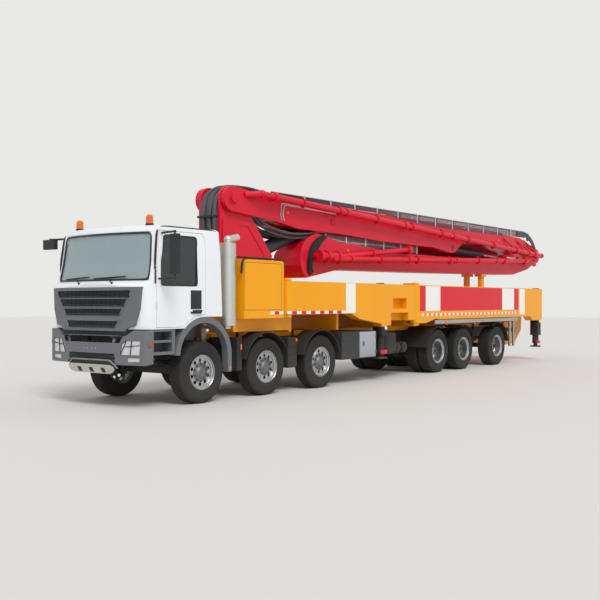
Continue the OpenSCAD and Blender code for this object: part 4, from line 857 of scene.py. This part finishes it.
swivel = {"x": 0.5, "z": 2.735, "start": 4.22, "end": 4.93, "tip": (8.05, 3.06)}
upper = bmesh.new()
foot = spot(swivel["x"], swivel["start"], swivel["z"])
head = spot(swivel["x"], swivel["end"], swivel["z"] + 0.02)
tip = spot(swivel["x"] - 0.03, *swivel["tip"])
addRod(upper, foot, head, 0.092, 28)
for share, radius in ((0.02, 0.135), (0.42, 0.118), (0.98, 0.118)):
    at = foot.lerp(head, share)
    addRod(upper, at - Vector((0, 0.035, 0)), at + Vector((0, 0.035, 0)), radius, 28)
addRod(upper, foot + Vector((-0.17, 0.05, 0)), foot + Vector((0.0, 0.05, 0)), 0.09, 24)
addRod(upper, head, tip, clampShape["pipe"] - 0.006, 24)
for share in (0.0, 0.45, 0.97):
    at, way = head.lerp(tip, share), (tip - head).normalized() * 0.03
    addRod(upper, at - way, at + way, clampShape["band"] + (0.012 if share > 0.9 else 0.0), 24)
addRod(upper, tip + Vector((0, 0.03, -0.09)), tip + Vector((0, 0.03, 0.075)), 0.07, 20)
addRod(upper, tip + Vector((0, 0.03, -0.06)), tip + Vector((-0.2, 0.03, -0.06)), 0.06, 20)
for share in (0.3, 0.62):
    at = head.lerp(tip, share)
    addBar(upper, at, Vector((0.33, at.y, at.z)), 0.04, 0.04)
piece("upper_pipe", upper, boomEnamel, "arm_2", 30)

braceTable = (((0.37, 13.61, 3.735), (0.5, 14.17, 3.42)), ((0.37, 14.48, 3.72), (0.5, 15.40, 3.37)),
    ((0.37, 15.22, 3.70), (0.5, 16.0, 3.33)))
braces = bmesh.new()
addRods(braces, [(start, end, 0.022, 10) for start, end in braceTable])
piece("pipe_braces", braces, boomEnamel, "arm_1")

webOutline = ((11.0, 3.36), (12.6, 3.35), (13.4, 3.27), (15.2, 3.25), (15.6, 3.36), (15.75, 3.52),
    (15.2, 3.66), (11.0, 3.66))
web = bmesh.new()
addPlate(web, webOutline, sidePlane(-0.372), 0.02)
addBlocks(web, [((-0.354, y, 3.38), (-0.334, y + 0.04, 3.64), 0.004) for y in (12.2, 13.4, 14.6)])
piece("arm_web", web, boomEnamel, "arm_1")

# hoses over the turret's head: one set held by the turret, one by the first arm
hoseRun = {"radius": 0.029, "lanes": (-0.18, -0.128, -0.076, -0.024, 0.028, 0.08, 0.132, 0.182),
    "layer": 0.062}
turretHoses, armHoses, tie = bmesh.new(), bmesh.new(), bmesh.new()
for lane, x in enumerate(hoseRun["lanes"]):
    out = 0.022 * (lane % 3)
    for layer in (0.0, hoseRun["layer"]):
        foot = [(x, 1.66, 2.56), (x, 1.44 + layer, 2.66), (x, 1.375 + layer - out, 3.0),
            (x, 1.345 + layer - out, 3.42 - layer), (x, 1.41 + layer, 3.80 + out - layer)]
        crown = [(x, 1.60, 3.87)] if layer else [(x, 1.70, 3.955 + out), (x, 2.02, 4.0 + out * 0.6)]
        addPipe(turretHoses, placedPath(foot + crown, 0.2, 6), hoseRun["radius"], 8)
    radius = hoseRun["radius"] * (1.0 if lane % 2 else 0.8)
    addPipe(armHoses, placedPath(((x, 1.94, 3.995 + out * 0.6), (x, 2.35, 4.005 + out * 0.6),
        (x, 2.85, 3.96 + out * 0.3), (x, 4.6, 3.905)), 0.2, 6), radius, 8)
# hoses under the first arm, real but laid densely to fill the gap between the arm and the lift cylinder,
# partly as painted shade there
for side in (-1, 1):
    for lane in range(6):
        x, low = side * (0.02 + 0.057 * lane), 0.04 * ((lane + 1) % 3)
        addPipe(armHoses, placedPath(((x, 2.36, 3.47), (x, 2.75, 3.28 - low), (x, 3.4, 3.17 - low),
            (x, 4.1, 3.21 - low), (x, 4.65, 3.34)), 0.35, 6), 0.027, 8)
piece("turret_hoses", turretHoses, weatheredHose, "turret")
piece("arm_hoses", armHoses, weatheredHose, "arm_1")
addBlocks(tie, [((-0.215, y - 0.08, z - 0.02), (0.215, y + 0.10, z + 0.02), 0.006)
    for y, z in ((1.375, 2.97), (1.345, 3.38))])
piece("hose_ties", tie, trimPlastic, "turret")

rearHoses = bmesh.new()
for lane in range(3):
    x, low = 0.418, 0.055 * lane
    addPipe(rearHoses, placedPath(((x, 14.6, 3.93 - low), (x, 15.26, 3.945 - low),
        (x, 15.62 - low * 0.7, 3.82 - low * 0.6), (x, 15.9 - low * 0.9, 3.62 - low * 0.2),
        (x, 16.07 - low, 3.38)), 0.25, 6), 0.028, 8)
addBlock(rearHoses, spot(0.386, 15.38, 3.70), spot(0.446, 15.44, 3.93), 0.006)
mirrorX(rearHoses)
piece("rear_hoses", rearHoses, weatheredHose, "arm_1")

# steel lines from the arm down to the lift cylinder
lines = bmesh.new()
for lane in range(2):
    x, back = 0.392 + lane * 0.03, lane * 0.04
    addPipe(lines, placedPath(((x, 4.95, 3.70), (x, 3.10 + back, 3.77 - lane * 0.03), (x, 3.06 + back, 3.52),
        (x - 0.01, 3.12 + back, 3.42)), 0.06), 0.013, 8)
piece("arm_lines", lines, silverPaint, "arm_1")

lampsOnBoom = {"arm_1": ((0.388, 3.3, 3.60), (0.388, 13.35, 3.60)), "arm_2": ((0.335, 5.55, 2.92),)}
for arm, places in lampsOnBoom.items():
    glow = bmesh.new()
    for x, y, z in places:
        for side in (-1, 1):
            addRod(glow, spot(side * (x - 0.006), y, z), spot(side * (x + 0.012), y, z), 0.038, 20, 0.03)
    piece(f"boom_lamps_{arm}", glow, amberLens, arm)

# bolted caps over the ends of the first arm's pins: y, z, radius
capTable = ((1.64, 3.73, 0.11), (16.2, 3.25, 0.12), (10.5, 3.24, 0.075), (4.9, 3.52, 0.075))
capFace = 0.385
for index, (y, z, radius) in enumerate(capTable):
    cap = bmesh.new()
    for side in (-1, 1):
        addRod(cap, spot(side * (capFace - 0.001), y, z), spot(side * (capFace + 0.014), y, z), radius, 32)
        for bolt in range(6):
            a = 2 * math.pi * bolt / 6
            at = spot(side * capFace, y + math.cos(a) * radius * 0.72, z + math.sin(a) * radius * 0.72)
            addRod(cap, at, at + Vector((side * 0.024, 0, 0)), 0.012, 6)
    piece(f"pin_cap_{index}", cap, boomEnamel, "arm_1", 30)
print("boom done")


# Deck, boxes, legs and hopper

def mirrored(name, bm, material):
    mirrorX(bm)
    return piece(name, bm, material, "root")


rail = bmesh.new()
addPipe(rail, placedPath(((1.235, 0.93, 2.26), (1.235, 0.955, 2.50), (1.235, 1.1, 2.545),
    (1.235, 2.02, 2.545), (1.235, 2.14, 2.50), (1.235, 2.15, 2.40)), 0.08), 0.02, 10)
addRods(rail, [((1.235, y, 2.51), (1.235, y, 2.545), 0.012, 8) for y in (1.2, 1.6, 1.95)])
addPipe(rail, placedPath(((0.88, 1.02, 2.515), (0.88, 1.02, 2.58), (0.88, 2.08, 2.58), (0.88, 2.08, 2.515)),
    0.05), 0.016, 10)
mirrored("box_rails", rail, guardPlastic)

seamFace = (1.249, 1.2512)
seams = bmesh.new()
for front, rear, foot, top in ((1.0, 1.006, 1.6, 2.46), (2.05, 2.056, 1.6, 2.46), (1.0, 2.056, 1.594, 1.6),
        (1.0, 2.056, 2.46, 2.466)):
    addBlock(seams, spot(seamFace[0], front, foot), spot(seamFace[1], rear, top))
mirrored("box_seams", seams, guardPlastic)

# tool box on each side: the case, its steps, lid, latch and hinges
toolbox = {"case": (((0.5, 4.1, 0.53), (1.2, 5.39, 1.12), 0.02),
        ((1.19, 4.14, 0.712), (1.205, 4.70, 0.728), 0.004),
        ((1.19, 4.14, 0.922), (1.205, 4.70, 0.938), 0.004)),
    "lid": (((1.195, 4.75, 0.55), (1.21, 5.38, 1.10), 0.006),
        ((1.205, 4.78, 0.58), (1.214, 5.35, 1.07), 0.004))}
case, lid, latch = bmesh.new(), bmesh.new(), bmesh.new()
addBlocks(case, toolbox["case"])
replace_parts(mirrored("toolbox", case, boxGrey), "side_boxes")
addBlocks(lid, toolbox["lid"])
mirrored("toolbox_lid", lid, boxEnamel)
addBlock(latch, spot(1.212, 4.86, 0.80), spot(1.222, 4.92, 0.90), 0.004)
addRods(latch, [((1.22, 4.89, 0.85), (1.229, 4.89, 0.85), 0.014, 12),
    *(((1.213, 5.37, z - 0.04), (1.213, 5.37, z + 0.04), 0.012, 10) for z in (0.66, 1.0))])
mirrored("toolbox_latches", latch, hubIron)

# battery box and air box between the steered wheels, clear of their lock
boxes = bmesh.new()
addBlocks(boxes, [((0.44, 0.90, 0.50), (1.16, 1.04, 1.10), 0.02),
    ((0.44, 2.41, 0.46), (1.12, 2.70, 1.06), 0.03)])
for z in (0.62, 0.78, 0.94):
    addBlocks(boxes, [((0.5, 0.893, z), (1.1, 0.902, z + 0.03), 0.003),
        ((1.115, 2.45, z - 0.06), (1.126, 2.66, z - 0.04), 0.003)])
addBlocks(boxes, [((0.40, y, 0.80), (0.46, y + 0.06, 0.98), 0.0) for y in (0.93, 2.5)])
mirrored("frame_boxes", boxes, frameEnamel)

# round air tanks with their straps and brackets, then the fuel tank
airTank = {"y": (6.56, 6.86), "z": 0.69, "radius": 0.125, "straps": (0.62, 0.94)}
tanks = bmesh.new()
for y in airTank["y"]:
    z, radius = airTank["z"], airTank["radius"]
    addRods(tanks, [((0.52, y, z), (1.04, y, z), radius, 28), ((1.04, y, z), (1.07, y, z), radius, 28, 0.085),
        *(((x, y, z), (x + 0.03, y, z), radius + 0.004, 28) for x in airTank["straps"]),
        ((1.069, y, z), (1.08, y, z), 0.025, 12)])
    addBlock(tanks, spot(0.58, y - 0.02, 0.80), spot(0.64, y + 0.02, 0.95))
addBlocks(tanks, [((0.43, 6.5, 0.95), (0.64, 6.92, 0.985), 0.0),
    ((0.49, 5.9, 0.56), (1.13, 6.38, 1.06), 0.06), ((0.485, 6.0, 0.555), (1.136, 6.03, 1.066), 0.06),
    ((0.485, 6.25, 0.555), (1.136, 6.28, 1.066), 0.06), ((0.43, 6.1, 0.85), (0.5, 6.18, 1.0), 0.0)])
mirrored("tanks", tanks, frameEnamel)

# per outrigger: y of the jack, height of its foot and of its tube's lower end
legTable = {"front": (5.68, 0.483, 1.0), "rear": (14.37, 0.39, 0.75)}
for sideName, side in bothSides:
    for end, (y, foot, tube) in legTable.items():
        jack, arm = f"jack_{end}_{sideName}", f"outrigger_{end}_{sideName}"
        tag, skin, lamp = bmesh.new(), bmesh.new(), bmesh.new()
        addPad(tag, side, 1.226, 0.004, y - 0.13, y + 0.13, foot + 0.10, foot + 0.19, 0.003)
        piece(f"foot_tag_{end}_{sideName}", tag, signalRed, jack)
        for half, top in ((0.1215, 1.2), (0.126, tube + 0.035)):
            addPad(skin, side, 1.13, half, y - half, y + half, tube - 0.001, top, 0.004)
        piece(f"jack_tube_{end}_{sideName}", skin, frameEnamel, arm)
        addRod(lamp, spot(side * 1.249, y + 0.03, 1.16), spot(side * 1.275, y + 0.03, 1.16), 0.042, 20, 0.036)
        piece(f"leg_lamp_{end}_{sideName}", lamp, signalWhite, arm)

grateShape = {"bars": 11, "gap": 0.052, "half": 0.59, "rows": 8, "rowGap": 0.16}
grate = bmesh.new()
for bar in range(-grateShape["bars"], grateShape["bars"] + 1):
    addPad(grate, 1, bar * grateShape["gap"], 0.006, 13.24, 14.4, 1.29, 1.315)
for row in range(grateShape["rows"]):
    y = row * grateShape["rowGap"]
    addBlock(grate, spot(-grateShape["half"], 13.25 + y, 1.28), spot(grateShape["half"], 13.262 + y, 1.325))
piece("hopper_grate", grate, frameEnamel, "root")

# black disc in the exhaust's mouth: partly soot, partly painted shade of the pipe's inside
mouth = bmesh.new()
addRod(mouth, spot(1.05, 1.022, 2.919), spot(1.05, 1.0275, 2.9205), 0.056, 24)
piece("exhaust_mouth", mouth, guardPlastic, "root")
print("deck done")


# Stage, lamps and camera

studio = {"floor": "#d6d3cf", "floorSize": 160, "sky": "#f4f6f8", "backdrop": "#e9e9e6", "world": 0.75,
    "sun": 1.8, "sunWidth": 25, "sunTurn": (42, 0, 58)}
floorMaterial = startFinish("studioFloor", {"Roughness": 0.8, "Base Color": linear(studio["floor"])})[0]
bpy.ops.mesh.primitive_plane_add(size=studio["floorSize"], location=(0, 0, 0))
floor = bpy.context.object
floor.name = "studio_floor"
floor.data.materials.append(floorMaterial)

world = bpy.data.worlds.new("studioWorld")
bpy.context.scene.world = world
world.use_nodes = True
sky = world.node_tree.nodes["Background"]
sky.inputs["Color"].default_value = linear(studio["sky"])
sky.inputs["Strength"].default_value = studio["world"]
seen = addNode(world, "Background", values={"Color": linear(studio["backdrop"])})
rays = addNode(world, "LightPath")
either = addNode(world, "MixShader", feeds={0: rays.outputs["Is Camera Ray"], 1: sky.outputs[0],
    2: seen.outputs[0]})
feed(world, either.outputs[0], world.node_tree.nodes["World Output"].inputs["Surface"])

sun = bpy.data.objects.new("sun_lamp", bpy.data.lights.new("sun_lamp", "SUN"))
sun.data.energy = studio["sun"]
sun.data.angle = math.radians(studio["sunWidth"])
sun.rotation_euler = [math.radians(turn) for turn in studio["sunTurn"]]
bpy.context.scene.collection.objects.link(sun)

# camera solved from the photograph: focal length and image centre in pixels
view = {"focal": 871.4, "yaw": 36.34, "pitch": 0.16, "place": (11.767, -10.765, 1.733),
    "centre": (327.8, 305.0), "pixels": 600, "sensor": 36}
camera = bpy.data.objects.new("photo_camera", bpy.data.cameras.new("photo_camera"))
camera.data.sensor_width = view["sensor"]
camera.data.lens = view["sensor"] * view["focal"] / view["pixels"]
camera.data.shift_x = (view["pixels"] / 2 - view["centre"][0]) / view["pixels"]
camera.data.shift_y = (view["centre"][1] - view["pixels"] / 2) / view["pixels"]
camera.data.clip_end = 400
camera.location = spot(*view["place"])
camera.rotation_euler = (math.radians(90 - view["pitch"]), 0, math.radians(view["yaw"]))
bpy.context.scene.collection.objects.link(camera)
bpy.context.scene.camera = camera
bpy.context.scene.view_settings.view_transform = "Standard"

print("scene done")
